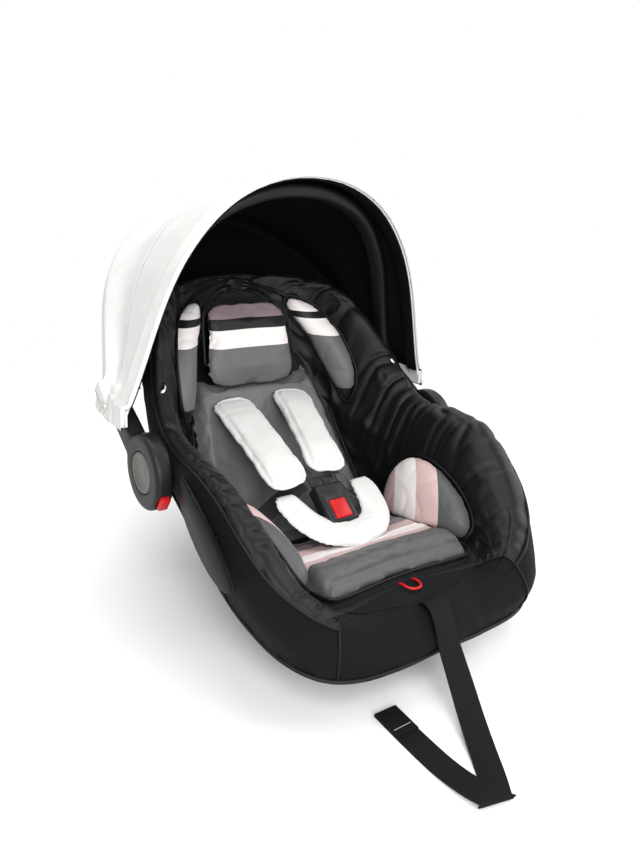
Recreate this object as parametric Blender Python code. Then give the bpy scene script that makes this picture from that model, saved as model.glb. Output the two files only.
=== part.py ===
"""Infant carrier seat with a padded cover, harness, carrying handle and folding canopy."""

import math

import bmesh
import bpy
import numpy as np
from mathutils import Matrix, Vector
from mathutils.bvhtree import BVHTree

for old in list(bpy.data.objects):
    bpy.data.objects.remove(old, do_unlink=True)

# Driving dimensions in metres
SEAT_HALF = 0.192
RIM_R = 0.018
COVER_T = 0.008
SHELL_T = 0.004
INSERT_T = 0.020
EAR_T = 0.022
CLEAR = 0.0004
HUB_Y = -0.014
HUB_Z = 0.212
DRUM_R = 0.046
DRUM_T = 0.022
DISC_R = 0.025
PIN_R = 0.0110
FOLD_Y = 0.076
FOLD_Z = 0.267
HOOP_HALF = 0.2395
HOOP_TOP = 0.5515
BAND_T = 0.0028
BAND_W = 0.018
CLOTH_T = 0.0022
REAR_BOW_DEG = 41.0
REAR_LONG = 1.11
GRIP_T = 0.018
ARM_T = 0.0125
BELT_W = 0.025
BELT_T = 0.0016
PULL_W = 0.030
PULL_T = 0.0018
BASE_HALF = 0.100
BASE_WALL = 0.005
SHOULDER_PAD_L = 0.150
SHOULDER_PAD_W = 0.057
SHOULDER_PAD_T = 0.012

# Fits worked out from the sizes above
SHELL_TOP = -(COVER_T + CLEAR)
DRUM_IN = SEAT_HALF + 0.020
DRUM_OUT = DRUM_IN + DRUM_T
TAB_IN = DRUM_OUT + 0.0006
TAB_OUT = TAB_IN + BAND_T
RISE = (HOOP_TOP - FOLD_Z) / 0.2845

STATIONS = 32
RINGS = 10

# Half loop from the foot end to the head end. Each row holds the rim crest, the lower edge of the
# cover, the edge of the seat floor and the place on the middle line; x is a share of the half width.
ROWS = [
    (0.00, -0.275, 0.1040, 0.00, -0.297, 0.058, 0.00, -0.262, -0.238),
    (0.30, -0.274, 0.1045, 0.33, -0.298, 0.058, 0.26, -0.260, -0.235),
    (0.55, -0.269, 0.110, 0.61, -0.291, 0.059, 0.45, -0.252, -0.230),
    (0.74, -0.252, 0.128, 0.80, -0.272, 0.063, 0.58, -0.235, -0.224),
    (0.88, -0.222, 0.158, 0.92, -0.235, 0.072, 0.645, -0.203, -0.190),
    (0.95, -0.182, 0.196, 0.97, -0.185, 0.085, 0.665, -0.163, -0.150),
    (0.98, -0.137, 0.228, 0.99, -0.139, 0.102, 0.675, -0.119, -0.103),
    (0.995, -0.090, 0.243, 1.01, -0.095, 0.135, 0.69, -0.074, -0.062),
    (1.00, -0.042, 0.247, 1.03, -0.045, 0.172, 0.70, -0.029, -0.020),
    (1.00, -0.003, 0.261, 1.04, 0.003, 0.200, 0.70, 0.014, 0.022),
    (0.98, 0.030, 0.288, 1.015, 0.043, 0.235, 0.69, 0.048, 0.055),
    (0.915, 0.062, 0.325, 0.95, 0.088, 0.280, 0.655, 0.084, 0.090),
    (0.82, 0.098, 0.366, 0.85, 0.130, 0.320, 0.61, 0.116, 0.118),
    (0.70, 0.132, 0.390, 0.72, 0.168, 0.352, 0.54, 0.142, 0.141),
    (0.52, 0.160, 0.399, 0.54, 0.198, 0.368, 0.40, 0.161, 0.158),
    (0.27, 0.180, 0.403, 0.28, 0.217, 0.376, 0.21, 0.176, 0.170),
    (0.00, 0.187, 0.404, 0.00, 0.223, 0.378, 0.00, 0.181, 0.175),
]

# Middle line of the padded seat: foot end to head end, y and z
MIDDLE = [
    (-0.320, 0.080), (-0.285, 0.101), (-0.255, 0.1085), (-0.222, 0.110), (-0.170, 0.101),
    (-0.124, 0.088), (-0.070, 0.075), (-0.025, 0.071), (0.015, 0.088), (0.045, 0.120),
    (0.080, 0.168), (0.110, 0.215), (0.139, 0.260), (0.158, 0.305), (0.170, 0.345),
    (0.182, 0.385), (0.200, 0.410),
]


def catmull(points, t):
    """Smooth curve through a list of points, t counted in list places."""
    i = min(max(int(math.floor(t)), 0), len(points) - 2)
    f = t - i
    p1, p2 = np.array(points[i], float), np.array(points[i + 1], float)
    p0 = np.array(points[i - 1], float) if i > 0 else 2 * p1 - p2
    p3 = np.array(points[i + 2], float) if i + 2 < len(points) else 2 * p2 - p1
    return 0.5 * (
        2 * p1
        + (p2 - p0) * f
        + (2 * p0 - 5 * p1 + 4 * p2 - p3) * f ** 2
        + (3 * p1 - p0 - 3 * p2 + p3) * f ** 3
    )


def smooth_path(points, count):
    """The same curve cut into count equal steps of the list parameter."""
    top = len(points) - 1
    return [catmull(points, top * k / count) for k in range(count + 1)]


DENSE = np.array(smooth_path(MIDDLE, 160))


def middle_z(y):
    """Height of the padded seat surface on the middle line."""
    return float(np.interp(y, DENSE[:, 0], DENSE[:, 1]))


def row_at(t):
    """One interpolated row of the rim table, mirrored past both ends."""
    def mirror(row):
        return [-row[0], row[1], row[2], -row[3], row[4], row[5], -row[6], row[7], row[8]]
    table = [mirror(ROWS[1])] + [list(r) for r in ROWS] + [mirror(ROWS[-2])]
    return catmull(table, t + 1)


def section(t):
    """Points of one half section, from the middle line out to the lower edge of the cover.

    Also gives the direction in which the padding is thickened at each of the rim points.
    """
    r = row_at(t)
    crest = np.array([r[0] * SEAT_HALF, r[1], r[2]])
    hem = np.array([r[3] * SEAT_HALF, r[4], r[5]])
    floor = np.array([r[6] * SEAT_HALF, r[7], 0.0])
    spine = np.array([0.0, r[8], 0.0])
    raw = middle_z(floor[1])
    high = max(crest[2] - raw, 0.0)
    floor[2] = raw + 0.10 * high
    spine[2] = middle_z(spine[1])
    near, far = row_at(max(t - 0.25, -0.9)), row_at(min(t + 0.25, 16.9))
    along = np.array([(far[0] - near[0]) * SEAT_HALF, far[1] - near[1]])
    out = np.array([along[1], -along[0], 0.0]) / np.linalg.norm(along)
    up = np.array([0.0, 0.0, 1.0])
    full = min(1.0, high / 0.08)
    near_hub = math.exp(-((t - 9.8) / 2.0) ** 2)
    radius = (0.008 + (RIM_R - 0.008) * full) * (1 - 0.38 * near_hub)
    points = [spine]
    for share in (0.36, 0.66, 0.86):
        p = spine + (floor - spine) * share
        p[2] = middle_z(p[1]) + 0.10 * high * share ** 4
        points.append(p)
    points.append(floor)
    for share, drop in ((0.72, 0.60), (0.36, 0.13)):
        p = crest + (floor - crest) * share
        p[2] = crest[2] - drop * (crest[2] - floor[2])
        points.append(p)
    points.append(crest)
    points.append(crest + out * 0.74 * radius - up * (0.32 * radius + 0.0015))
    points.append(crest + (hem - crest) * 0.52 + out * radius)
    points.append(hem)
    sides = {}
    for k, prev, after in ((6, 5, 7), (9, 8, 10), (10, 9, 10)):
        d = points[after] - points[prev]
        run, rise = float(np.dot(d, out)), d[2]
        n = up * run - out * rise
        if k > 8 and np.dot(n, out) < 0:
            n = -n
        sides[k] = n / np.linalg.norm(n)
    sides[7] = (up + 0.12 * out) / np.linalg.norm(up + 0.12 * out)
    mid = sides[7] + sides[9]
    sides[8] = mid / np.linalg.norm(mid)
    slope = np.append(along, far[2] - near[2])
    slope /= np.linalg.norm(slope)
    for k, n in sides.items():
        n = n - slope * np.dot(n, slope)
        sides[k] = n / np.linalg.norm(n)
    return points, sides


def build_lattice():
    """Vertex table, quad list and vertex normals of the padded seat surface."""
    index = {}
    coords = []
    fixed = {}
    for i in range(STATIONS + 1):
        half, sides = section(16.0 * i / STATIONS)
        ends = i in (0, STATIONS)
        for j in range(-RINGS, RINGS + 1):
            if ends and j < 0:
                continue
            p = half[abs(j)].copy()
            p[0] = 0.0 if (ends or j == 0) else math.copysign(abs(p[0]), j)
            index[(i, j)] = len(coords)
            if abs(j) in sides:
                n = sides[abs(j)].copy()
                n[0] = 0.0 if ends else n[0] * (1 if j > 0 else -1)
                fixed[len(coords)] = n
            coords.append(p)
        if ends:
            for j in range(-RINGS, 0):
                index[(i, j)] = index[(i, -j)]
    quads = {}
    for i in range(STATIONS):
        for j in range(-RINGS, RINGS):
            quads[(i, j)] = (index[(i, j)], index[(i, j + 1)], index[(i + 1, j + 1)], index[(i + 1, j)])
    coords = np.array(coords)
    normals = np.zeros_like(coords)
    for q in quads.values():
        a, b, c, d = (coords[k] for k in q)
        n = np.cross(c - a, d - b)
        for k in q:
            normals[k] += n
    lengths = np.linalg.norm(normals, axis=1)
    normals /= np.maximum(lengths, 1e-12)[:, None]
    if normals[index[(STATIONS // 3, 0)]][2] < 0:
        normals = -normals
        quads = {key: tuple(reversed(q)) for key, q in quads.items()}
    for k, n in fixed.items():
        normals[k] = n
    return coords, quads, normals, index


SURF, QUADS, NORM, INDEX = build_lattice()
RING = {k: abs(j) for (i, j), k in INDEX.items()}


def face_normals(coords):
    """Vertex normals of the surface lattice for a moved set of points."""
    normals = np.zeros_like(coords)
    for q in QUADS.values():
        a, b, c, d = (coords[k] for k in q)
        n = np.cross(c - a, d - b)
        for k in q:
            normals[k] += n
    return normals / np.maximum(np.linalg.norm(normals, axis=1), 1e-12)[:, None]


def tub_lattice():
    """Top surface of the tub: under the cover, eased inward round the tight rim."""
    coords = SURF + NORM * SHELL_TOP
    near = {k: set() for k in range(len(coords))}
    for q in QUADS.values():
        for a, b in zip(q, q[1:] + q[:1]):
            near[a].add(b)
            near[b].add(a)
    free = [k for k in near if 5 <= RING[k] <= 9]
    links = {k: list(near[k]) for k in free}
    for _ in range(6):
        moved = coords.copy()
        for k in free:
            step = (coords[links[k]].mean(axis=0) - coords[k]) * 0.5
            rise = float(np.dot(step, NORM[k]))
            if rise > 0:
                step = step - NORM[k] * rise
            moved[k] = coords[k] + step
        coords = moved
    for k in free:
        coords[k] = coords[k] - NORM[k] * 0.0007
    normals = face_normals(coords)
    if np.dot(normals[INDEX[(STATIONS // 3, 0)]], NORM[INDEX[(STATIONS // 3, 0)]]) < 0:
        normals = -normals
    return coords, normals


TUB, TUB_N = tub_lattice()
MATERIALS = {}


def material(name, colour, rough=0.6, metal=0.0):
    """Material of one node; colour is an sRGB hex string."""
    mat = bpy.data.materials.new(name)
    mat.use_nodes = True
    shader = next(n for n in mat.node_tree.nodes if n.type == "BSDF_PRINCIPLED")
    rgb = []
    for k in (0, 2, 4):
        c = int(colour[k:k + 2], 16) / 255
        rgb.append(c / 12.92 if c <= 0.04045 else ((c + 0.055) / 1.055) ** 2.4)
    shader.inputs["Base Color"].default_value = (*rgb, 1)
    shader.inputs["Roughness"].default_value = rough
    shader.inputs["Metallic"].default_value = metal
    return mat


def add(name, verts, faces, colour, rough=0.6, metal=0.0, origin=(0, 0, 0)):
    """New node from vertices and faces in world metres, with its origin at a chosen point."""
    mesh = bpy.data.meshes.new(name)
    org = Vector(origin)
    mesh.from_pydata([Vector(v) - org for v in verts], [], [tuple(f) for f in faces])
    bm = bmesh.new()
    bm.from_mesh(mesh)
    bmesh.ops.remove_doubles(bm, verts=bm.verts, dist=1e-6)
    bmesh.ops.recalc_face_normals(bm, faces=bm.faces)
    bent = []
    for face in bm.faces:
        mid = face.calc_center_median()
        if max(abs(face.normal.dot(v.co - mid)) for v in face.verts) > 2e-6:
            bent.append(face)
    bmesh.ops.triangulate(bm, faces=bent, quad_method="SHORT_EDGE")
    bm.to_mesh(mesh)
    bm.free()
    mesh.materials.append(material(name + "_mat", colour, rough, metal))
    obj = bpy.data.objects.new(name, mesh)
    obj.location = org
    bpy.context.scene.collection.objects.link(obj)
    return obj


def untangle(verts, faces, links, guard):
    """Ease the movable points of faces that pass through each other, until none do.

    links gives the neighbours of every point that may move, and guard the direction in which
    it must not rise.
    """
    points = np.array([tuple(v) for v in verts])
    for _ in range(60):
        tree = BVHTree.FromPolygons([Vector(p) for p in points], faces)
        bad = set()
        for a, b in tree.overlap(tree):
            if not set(faces[a]) & set(faces[b]):
                bad.update(faces[a])
                bad.update(faces[b])
        bad = [k for k in bad if k in links]
        if not bad:
            break
        wider = set(bad)
        for k in bad:
            wider.update(m for m in links[k] if m in links)
        fresh = points.copy()
        for k in wider:
            step = (points[links[k]].mean(axis=0) - points[k]) * 0.6
            rise = float(np.dot(step, guard[k]))
            step = step - guard[k] * (rise if rise > 0 else 0.7 * rise)
            fresh[k] = points[k] + step
        points = fresh
    return [tuple(p) for p in points]


def region_solid(name, keys, low, high, edge, colour, rough=0.6, inset=0.0003, soft=1,
                 base=None, normal=None, ease=None, above=None):
    """Closed solid over a set of surface quads: low and high are heights above the surface."""
    base = SURF if base is None else base
    normal = NORM if normal is None else normal
    used = [QUADS[k] for k in keys]
    count = {}
    for q in used:
        for a, b in zip(q, q[1:] + q[:1]):
            key = (min(a, b), max(a, b))
            count[key] = count.get(key, 0) + 1
    rim = {k for e, c in count.items() if c == 1 for k in e}
    depth = {k: 0 for k in rim}
    front = set(rim)
    while front:
        step = set()
        for q in used:
            if any(k in front for k in q):
                for k in q:
                    if k not in depth:
                        depth[k] = depth.get(k, None)
                        step.add(k)
        level = max(v for v in depth.values() if v is not None) + 1
        for k in step:
            depth[k] = level
        front = step
    near = {}
    for q in used:
        for k in q:
            near.setdefault(k, set()).update(q)
    place = {}
    for k in near:
        p = base[k].copy()
        if k in rim and inset:
            pull = np.mean([base[m] for m in near[k]], axis=0) - p
            pull -= normal[k] * np.dot(pull, normal[k])
            size = np.linalg.norm(pull)
            if size > 1e-6:
                p += pull / size * inset
        place[k] = p
    order = sorted(near)
    where = {k: n for n, k in enumerate(order)}
    size = len(order)
    verts = [place[k] + normal[k] * low for k in order]
    for k in order:
        share = min(1.0, depth[k] / soft) if soft else 1.0
        top = edge + (high - edge) * share
        verts.append(place[k] + normal[k] * top)
    faces = []
    for q in used:
        faces.append([where[k] + size for k in q])
        faces.append([where[k] for k in reversed(q)])
        for a, b in zip(q, q[1:] + q[:1]):
            if count[(min(a, b), max(a, b))] == 1:
                faces.append([where[a], where[b], where[b] + size, where[a] + size])
    if ease:
        links = {}
        guard = {}
        for k in order:
            if k in rim:
                continue
            around = [where[m] for m in near[k] if m != k]
            if "low" in ease:
                links[where[k]] = around
                guard[where[k]] = -normal[k] if "deep" not in ease else np.zeros(3)
            if "top" in ease and abs(RING[k]) >= 4:
                links[where[k] + size] = [m + size for m in around]
                guard[where[k] + size] = normal[k]
        verts = untangle(verts, faces, links, guard)
    for _ in range(12):
        tree = BVHTree.FromPolygons([Vector(v) for v in verts], faces)
        low_hits = set()
        if above is not None:
            low_hits = {k for a, b in tree.overlap(above) for k in faces[a] if k < size}
        if not low_hits:
            break
        for k in low_hits:
            verts[k] = tuple(np.array(verts[k]) + normal[order[k]] * 0.0003)
    return add(name, verts, faces, colour, rough)


def cut(target, tool, mode="DIFFERENCE"):
    """Apply one exact boolean and throw the tool away."""
    tool.hide_render = True
    tool.display_type = "WIRE"
    mod = target.modifiers.new("cut", "BOOLEAN")
    mod.operation = mode
    mod.solver = "EXACT"
    mod.object = tool
    bpy.context.view_layer.update()
    graph = bpy.context.evaluated_depsgraph_get()
    fresh = bpy.data.meshes.new_from_object(target.evaluated_get(graph))
    target.modifiers.clear()
    keep = target.data.materials[0]
    target.data = fresh
    fresh.materials.clear()
    fresh.materials.append(keep)
    for poly in fresh.polygons:
        poly.material_index = 0
    bm = bmesh.new()
    bm.from_mesh(fresh)
    bmesh.ops.remove_doubles(bm, verts=bm.verts, dist=1e-6)
    bmesh.ops.dissolve_degenerate(bm, dist=1e-6, edges=bm.edges)
    bm.verts.index_update()
    groups = {}
    for face in bm.faces:
        groups.setdefault(frozenset(v.index for v in face.verts), []).append(face)
    double = [face for group in groups.values() if len(group) > 1 for face in group]
    bmesh.ops.delete(bm, geom=double, context="FACES_ONLY")
    bmesh.ops.delete(bm, geom=[e for e in bm.edges if not e.link_faces], context="EDGES")
    bmesh.ops.delete(bm, geom=[v for v in bm.verts if not v.link_faces], context="VERTS")
    bm.to_mesh(fresh)
    bm.free()
    bpy.data.objects.remove(tool, do_unlink=True)
    return target


def block(name, size, centre, rot=None, bevel=0.0, segments=2, colour="222222", rough=0.5,
          metal=0.0, origin=None):
    """Box with rounded edges."""
    bm = bmesh.new()
    bmesh.ops.create_cube(bm, size=1.0)
    bmesh.ops.scale(bm, vec=Vector(size), verts=bm.verts)
    if bevel:
        bmesh.ops.bevel(bm, geom=list(bm.edges), offset=bevel, segments=segments, affect="EDGES",
                        profile=0.5)
    turn = rot if rot is not None else Matrix.Identity(3)
    verts = [turn @ v.co + Vector(centre) for v in bm.verts]
    faces = [[v.index for v in f.verts] for f in bm.faces]
    bm.free()
    return add(name, verts, faces, colour, rough, metal, origin if origin is not None else centre)


def lathe(name, profile, centre, axis="X", steps=32, colour="222222", rough=0.5, metal=0.0,
          origin=None, turn=None):
    """Spun solid from (radius, height) pairs along an axis; first and last radius are zero."""
    verts = []
    faces = []
    rings = []
    for radius, height in profile:
        if radius < 1e-7:
            rings.append([len(verts)])
            verts.append((0.0, 0.0, height))
            continue
        ring = []
        for k in range(steps):
            a = 2 * math.pi * k / steps
            ring.append(len(verts))
            verts.append((radius * math.cos(a), radius * math.sin(a), height))
        rings.append(ring)
    for lower, upper in zip(rings, rings[1:]):
        for k in range(steps):
            m = (k + 1) % steps
            if len(lower) == 1:
                faces.append((lower[0], upper[k], upper[m]))
            elif len(upper) == 1:
                faces.append((lower[k], lower[m], upper[0]))
            else:
                faces.append((lower[k], lower[m], upper[m], upper[k]))
    if turn is None:
        turn = Matrix.Rotation(math.pi / 2, 3, "Y") if axis == "X" else Matrix.Identity(3)
    verts = [turn @ Vector(v) + Vector(centre) for v in verts]
    return add(name, verts, faces, colour, rough, metal, origin if origin is not None else centre)


def sweep(name, path, widths, thicks, across, colour="222222", rough=0.6, metal=0.0,
          origin=(0, 0, 0), corner=0.0, sides=4, ruled=False):
    """Bar along a path. across gives the width direction at each point; a ruled strap keeps it."""
    verts = []
    faces = []
    path = [np.array(p, float) for p in path]
    last = len(path) - 1
    ring_size = 0
    for k, p in enumerate(path):
        tangent = path[min(k + 1, last)] - path[max(k - 1, 0)]
        tangent /= np.linalg.norm(tangent)
        wide = np.array(across[k] if isinstance(across, list) else across, float)
        w = (widths[k] if isinstance(widths, list) else widths) / 2
        if ruled:
            thick = np.cross(tangent, wide)
            w /= np.linalg.norm(thick)
            thick /= np.linalg.norm(thick)
        else:
            wide -= tangent * np.dot(wide, tangent)
            wide /= np.linalg.norm(wide)
            thick = np.cross(tangent, wide)
        t = (thicks[k] if isinstance(thicks, list) else thicks) / 2
        if corner <= 0:
            ring = [(w, -t), (w, t), (-w, t), (-w, -t)]
        else:
            c = min(corner, w * 0.98, t * 0.98)
            ring = []
            for cx, cy, start in ((w - c, t - c, 0), (-w + c, t - c, 90), (-w + c, -t + c, 180),
                                  (w - c, -t + c, 270)):
                for s in range(sides):
                    a = math.radians(start + 90 * s / (sides - 1))
                    ring.append((cx + c * math.cos(a), cy + c * math.sin(a)))
        ring_size = len(ring)
        for a, b in ring:
            verts.append(p + wide * a + thick * b)
    for k in range(last):
        for s in range(ring_size):
            m = (s + 1) % ring_size
            a, b = k * ring_size, (k + 1) * ring_size
            faces.append((a + s, a + m, b + m, b + s))
    faces.append(tuple(range(ring_size))[::-1])
    faces.append(tuple(last * ring_size + s for s in range(ring_size)))
    return add(name, verts, faces, colour, rough, metal, origin)


def pillow(name, frame, outline, thick, colour, rough=0.7, rings=(1.0, 0.93, 0.72, 0.4),
           crown=(0.30, 0.72, 0.96, 1.0), flat=0.35, origin=None):
    """Stuffed pad: an outline in a frame (origin, u, v, w), domed on one side and flatter below."""
    org, u, v, w = (np.array(a, float) for a in frame)
    verts = []
    faces = []
    n = len(outline)
    centre = np.mean(np.array(outline, float), axis=0)
    layers = []
    for side in (1, -1):
        for share, lift in zip(rings, crown):
            if side < 0 and share == rings[0]:
                continue
            ring = []
            for p in outline:
                q = centre + (np.array(p) - centre) * share
                h = thick * (lift if side > 0 else -flat * (lift - crown[0]))
                ring.append(len(verts))
                verts.append(org + u * q[0] + v * q[1] + w * h)
            layers.append((side, ring))
    top = [r for s, r in layers if s > 0]
    low = [top[0]] + [r for s, r in layers if s < 0]
    for stack, flip in ((top, False), (low, True)):
        for a, b in zip(stack, stack[1:]):
            for k in range(n):
                m = (k + 1) % n
                q = (a[k], a[m], b[m], b[k])
                faces.append(tuple(reversed(q)) if flip else q)
        faces.append(tuple(stack[-1]) if not flip else tuple(reversed(stack[-1])))
    return add(name, verts, faces, colour, rough, 0.0, org if origin is None else origin)


def rounded_outline(length, width, radius, steps=5):
    """Rounded rectangle, counted anticlockwise."""
    pts = []
    a, b = length / 2 - radius, width / 2 - radius
    for cx, cy, start in ((a, b, 0), (-a, b, 90), (-a, -b, 180), (a, -b, 270)):
        for s in range(steps + 1):
            ang = math.radians(start + 90 * s / steps)
            pts.append((cx + radius * math.cos(ang), cy + radius * math.sin(ang)))
    return pts


def all_quads():
    return list(QUADS)


def pick(i0, i1, j0, j1, both=True):
    """Quads between stations i0 and i1 and rings j0 and j1 on one or both sides."""
    keys = []
    for i in range(i0, i1):
        for j in range(j0, j1):
            keys.append((i, j))
            if both:
                keys.append((i, -j - 1))
    return list(dict.fromkeys(keys))


# The moulded tub, with the pin bosses, harness slots and the hole for the strap adjuster
shell = region_solid("shell", all_quads(), -SHELL_T, 0.0, 0.0, "1C1C1E", 0.45,
                     inset=0.0, soft=0, base=TUB, normal=TUB_N, ease="low top")
TREE = BVHTree.FromPolygons([Vector(p) for p in SURF], [list(q) for q in QUADS.values()])


def on_seat(x, y, lift=0.0):
    """Point on the padded surface under (x, y), lifted along the surface normal."""
    point, normal, _, _ = TREE.ray_cast(Vector((x, y, 0.9)), Vector((0, 0, -1)))
    if normal.z < 0:
        normal = -normal
    return np.array(point + normal * lift), np.array(normal)


def tree_of(obj):
    bm = bmesh.new()
    bm.from_mesh(obj.data)
    bm.transform(Matrix.Translation(obj.location))
    tree = BVHTree.FromBMesh(bm)
    bm.free()
    return tree


def facing(normal, along=(1, 0, 0)):
    """Rotation with its Z on the normal and its X as near as possible to along."""
    z = Vector(normal).normalized()
    x = Vector(along)
    x = (x - z * x.dot(z)).normalized()
    y = z.cross(x)
    return Matrix((x, y, z)).transposed()


def slot_tool(x, y, size):
    point, normal = on_seat(x, y)
    return block("tool", size, point, rot=facing(normal), colour="FFFFFF")


def cylinder(name, radius, x0, x1, y, z, steps=28, **kw):
    profile = [(0, x0), (radius, x0), (radius, x1), (0, x1)]
    return lathe(name, profile, (0, y, z), steps=steps, **kw)


def outline_plate(name, outline, frame, thick, bevel=0.0, colour="222222", rough=0.5, metal=0.0,
                  origin=None):
    """Flat plate from an outline in a frame (origin, u, v, w), thick along w."""
    org, u, v, w = (np.array(a, float) for a in frame)
    bm = bmesh.new()
    ring = [bm.verts.new(org + u * a + v * b) for a, b in outline]
    face = bm.faces.new(ring)
    made = bmesh.ops.extrude_face_region(bm, geom=[face])
    moved = [g for g in made["geom"] if isinstance(g, bmesh.types.BMVert)]
    bmesh.ops.translate(bm, vec=Vector(w * thick), verts=moved)
    if bevel:
        edges = []
        for e in bm.edges:
            along = (e.verts[0].co - e.verts[1].co).normalized()
            if abs(along.dot(Vector(w))) < 0.5:
                edges.append(e)
        bmesh.ops.bevel(bm, geom=edges, offset=bevel, segments=2, affect="EDGES", profile=0.5)
    verts = [v.co.copy() for v in bm.verts]
    faces = [[v.index for v in f.verts] for f in bm.faces]
    bm.verts.index_update()
    faces = [[v.index for v in f.verts] for f in bm.faces]
    bm.free()
    return add(name, verts, faces, colour, rough, metal, org if origin is None else origin)


# Places that several pieces share
SHOULDER_X = 0.046
SHOULDER_Y = 0.118
CROTCH_Y = -0.103
PULL_Y = -0.267
LEVER_Y = -0.230
BUCKLE = np.array([-0.002, -0.088, 0.150])
BUCKLE_L = np.array([0.0, 0.80, 0.60])
BUCKLE_F = np.array([0.0, -0.60, 0.80])
BOSS_R = 0.0155
GUIDE_A = np.array([-0.086, 0.234])
GUIDE_B = np.array([-0.206, 0.156])

for side in (1, -1):
    a, b = side * (SEAT_HALF - 0.0175), side * (DRUM_IN - 0.0005)
    boss = cylinder("tool", BOSS_R, min(a, b), max(a, b), HUB_Y, HUB_Z)
    cut(shell, boss, "UNION")
    cut(shell, slot_tool(side * SHOULDER_X, SHOULDER_Y, (BELT_W + 0.010, 0.010, 0.06)))
cut(shell, slot_tool(0, CROTCH_Y, (0.040, 0.011, 0.06)))
cut(shell, block("tool", (0.0426, 0.0462, 0.05), (0, -0.2471, 0.095), colour="FFFFFF"))
SHELL_TREE = tree_of(shell)


def under_shell(x, y):
    """Height of the underside of the tub above (x, y), the lowest of a small neighbourhood."""
    best = 9.0
    for dx in (-0.004, 0, 0.004):
        for dy in (-0.006, 0, 0.006):
            hit = SHELL_TREE.ray_cast(Vector((x + dx, y + dy, -0.2)), Vector((0, 0, 1)))
            if hit[0] is not None:
                best = min(best, hit[0].z)
    return best


def wall(name, line, thick, closed, colour="1A1A1C"):
    """Upright wall along a floor line, from the rocker curve up to the tub."""
    line = [np.array(p, float) for p in line]
    n = len(line)
    verts = []
    faces = []
    for k, p in enumerate(line):
        if closed:
            t = line[(k + 1) % n] - line[k - 1]
        else:
            t = line[min(k + 1, n - 1)] - line[max(k - 1, 0)]
        t = t / np.linalg.norm(t)
        side = np.array([t[1], -t[0]]) * thick / 2
        tops = [under_shell(*(p + side)), under_shell(*(p - side))]
        for q, top in ((p + side, tops[0]), (p - side, tops[1])):
            lift = max(0.0, abs(q[1] + 0.035) - 0.085)
            low = 1.4 * lift ** 2
            verts.append((q[0], q[1], low))
            verts.append((q[0], q[1], top - 0.0014))
    loops = n if closed else n - 1
    for k in range(loops):
        a, b = 4 * k, 4 * ((k + 1) % n)
        faces += [(a, b, b + 1, a + 1), (a + 3, b + 3, b + 2, a + 2)]
        faces += [(a + 1, b + 1, b + 3, a + 3), (a + 2, b + 2, b, a)]
    if not closed:
        a = 4 * (n - 1)
        faces += [(0, 1, 3, 2), (a + 2, a + 3, a + 1, a)]
    return add(name, verts, faces, colour, 0.5)


# Rocker base: an open tray with two cross walls and four screw posts
BASE_FRONT = -0.200
BASE_BACK = 0.085
loop = []
mid_y = (BASE_FRONT + BASE_BACK) / 2
for a, b in rounded_outline(BASE_BACK - BASE_FRONT, 2 * BASE_HALF, 0.045, 6):
    loop.append((-b, mid_y + a))
dense_loop = []
for p, q in zip(loop, loop[1:] + loop[:1]):
    steps = max(1, int(np.hypot(q[0] - p[0], q[1] - p[1]) / 0.022))
    for s in range(steps):
        dense_loop.append((p[0] + (q[0] - p[0]) * s / steps, p[1] + (q[1] - p[1]) * s / steps))
base = wall("rocker_base", dense_loop, BASE_WALL, True)
for y in (-0.165, 0.0):
    rib = [(BASE_HALF * x, y) for x in (-0.99, -0.6, -0.3, 0, 0.3, 0.6, 0.99)]
    cut(base, wall("tool", rib, 0.006, False), "UNION")
SCREWS = [(sx * 0.066, y) for y in (-0.165, 0.0) for sx in (1, -1)]
for x, y in SCREWS:
    top = min(under_shell(x, y - 0.006), under_shell(x, y + 0.006))
    post = lathe("tool", [(0, 0.004), (0.0085, 0.004), (0.0085, top - 0.002), (0, top - 0.002)],
                 (x, y, 0), axis="Z", steps=16)
    cut(base, post, "UNION")
for x, y in SCREWS:
    top = under_shell(x, y)
    profile = [(0, -0.01), (0.0058, -0.01), (0.0058, top - 0.014), (0.0029, top - 0.014),
               (0.0029, top + 0.02), (0, top + 0.02)]
    cut(base, lathe("tool", profile, (x, y, 0), axis="Z", steps=16))
    hole = [(0, top - 0.01), (0.0029, top - 0.01), (0.0029, top + 0.012), (0, top + 0.012)]
    cut(shell, lathe("tool", hole, (x, y, 0), axis="Z", steps=12))
WEBBING = [
    (0, 0.1176, 0.1530), (0, 0.1005, 0.1225), (0, 0.072, 0.083), (0, 0.040, 0.054),
    (0, 0.000, 0.0405), (0, -0.050, 0.041), (0, -0.100, 0.047), (0, -0.150, 0.061),
    (0, -0.203, 0.0790), (0, -0.2266, 0.0868),
]
channel = [(x, y, z + 0.006) for x, y, z in WEBBING]
cut(base, sweep("tool", smooth_path(channel, 18), PULL_W + 0.012, 0.024, (1, 0, 0)))
for n, (x, y) in enumerate(SCREWS):
    top = under_shell(x, y)
    profile = [(0, top - 0.0180), (0.0050, top - 0.0180), (0.0050, top - 0.0150),
               (0.0023, top - 0.0145), (0.0023, top + 0.0030), (0, top + 0.0045)]
    lathe("base_screw_%d" % (n + 1), profile, (x, y, 0), axis="Z", steps=12, colour="9A9A9A",
          rough=0.35, metal=1.0, origin=(x, y, top - 0.0165))

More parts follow.
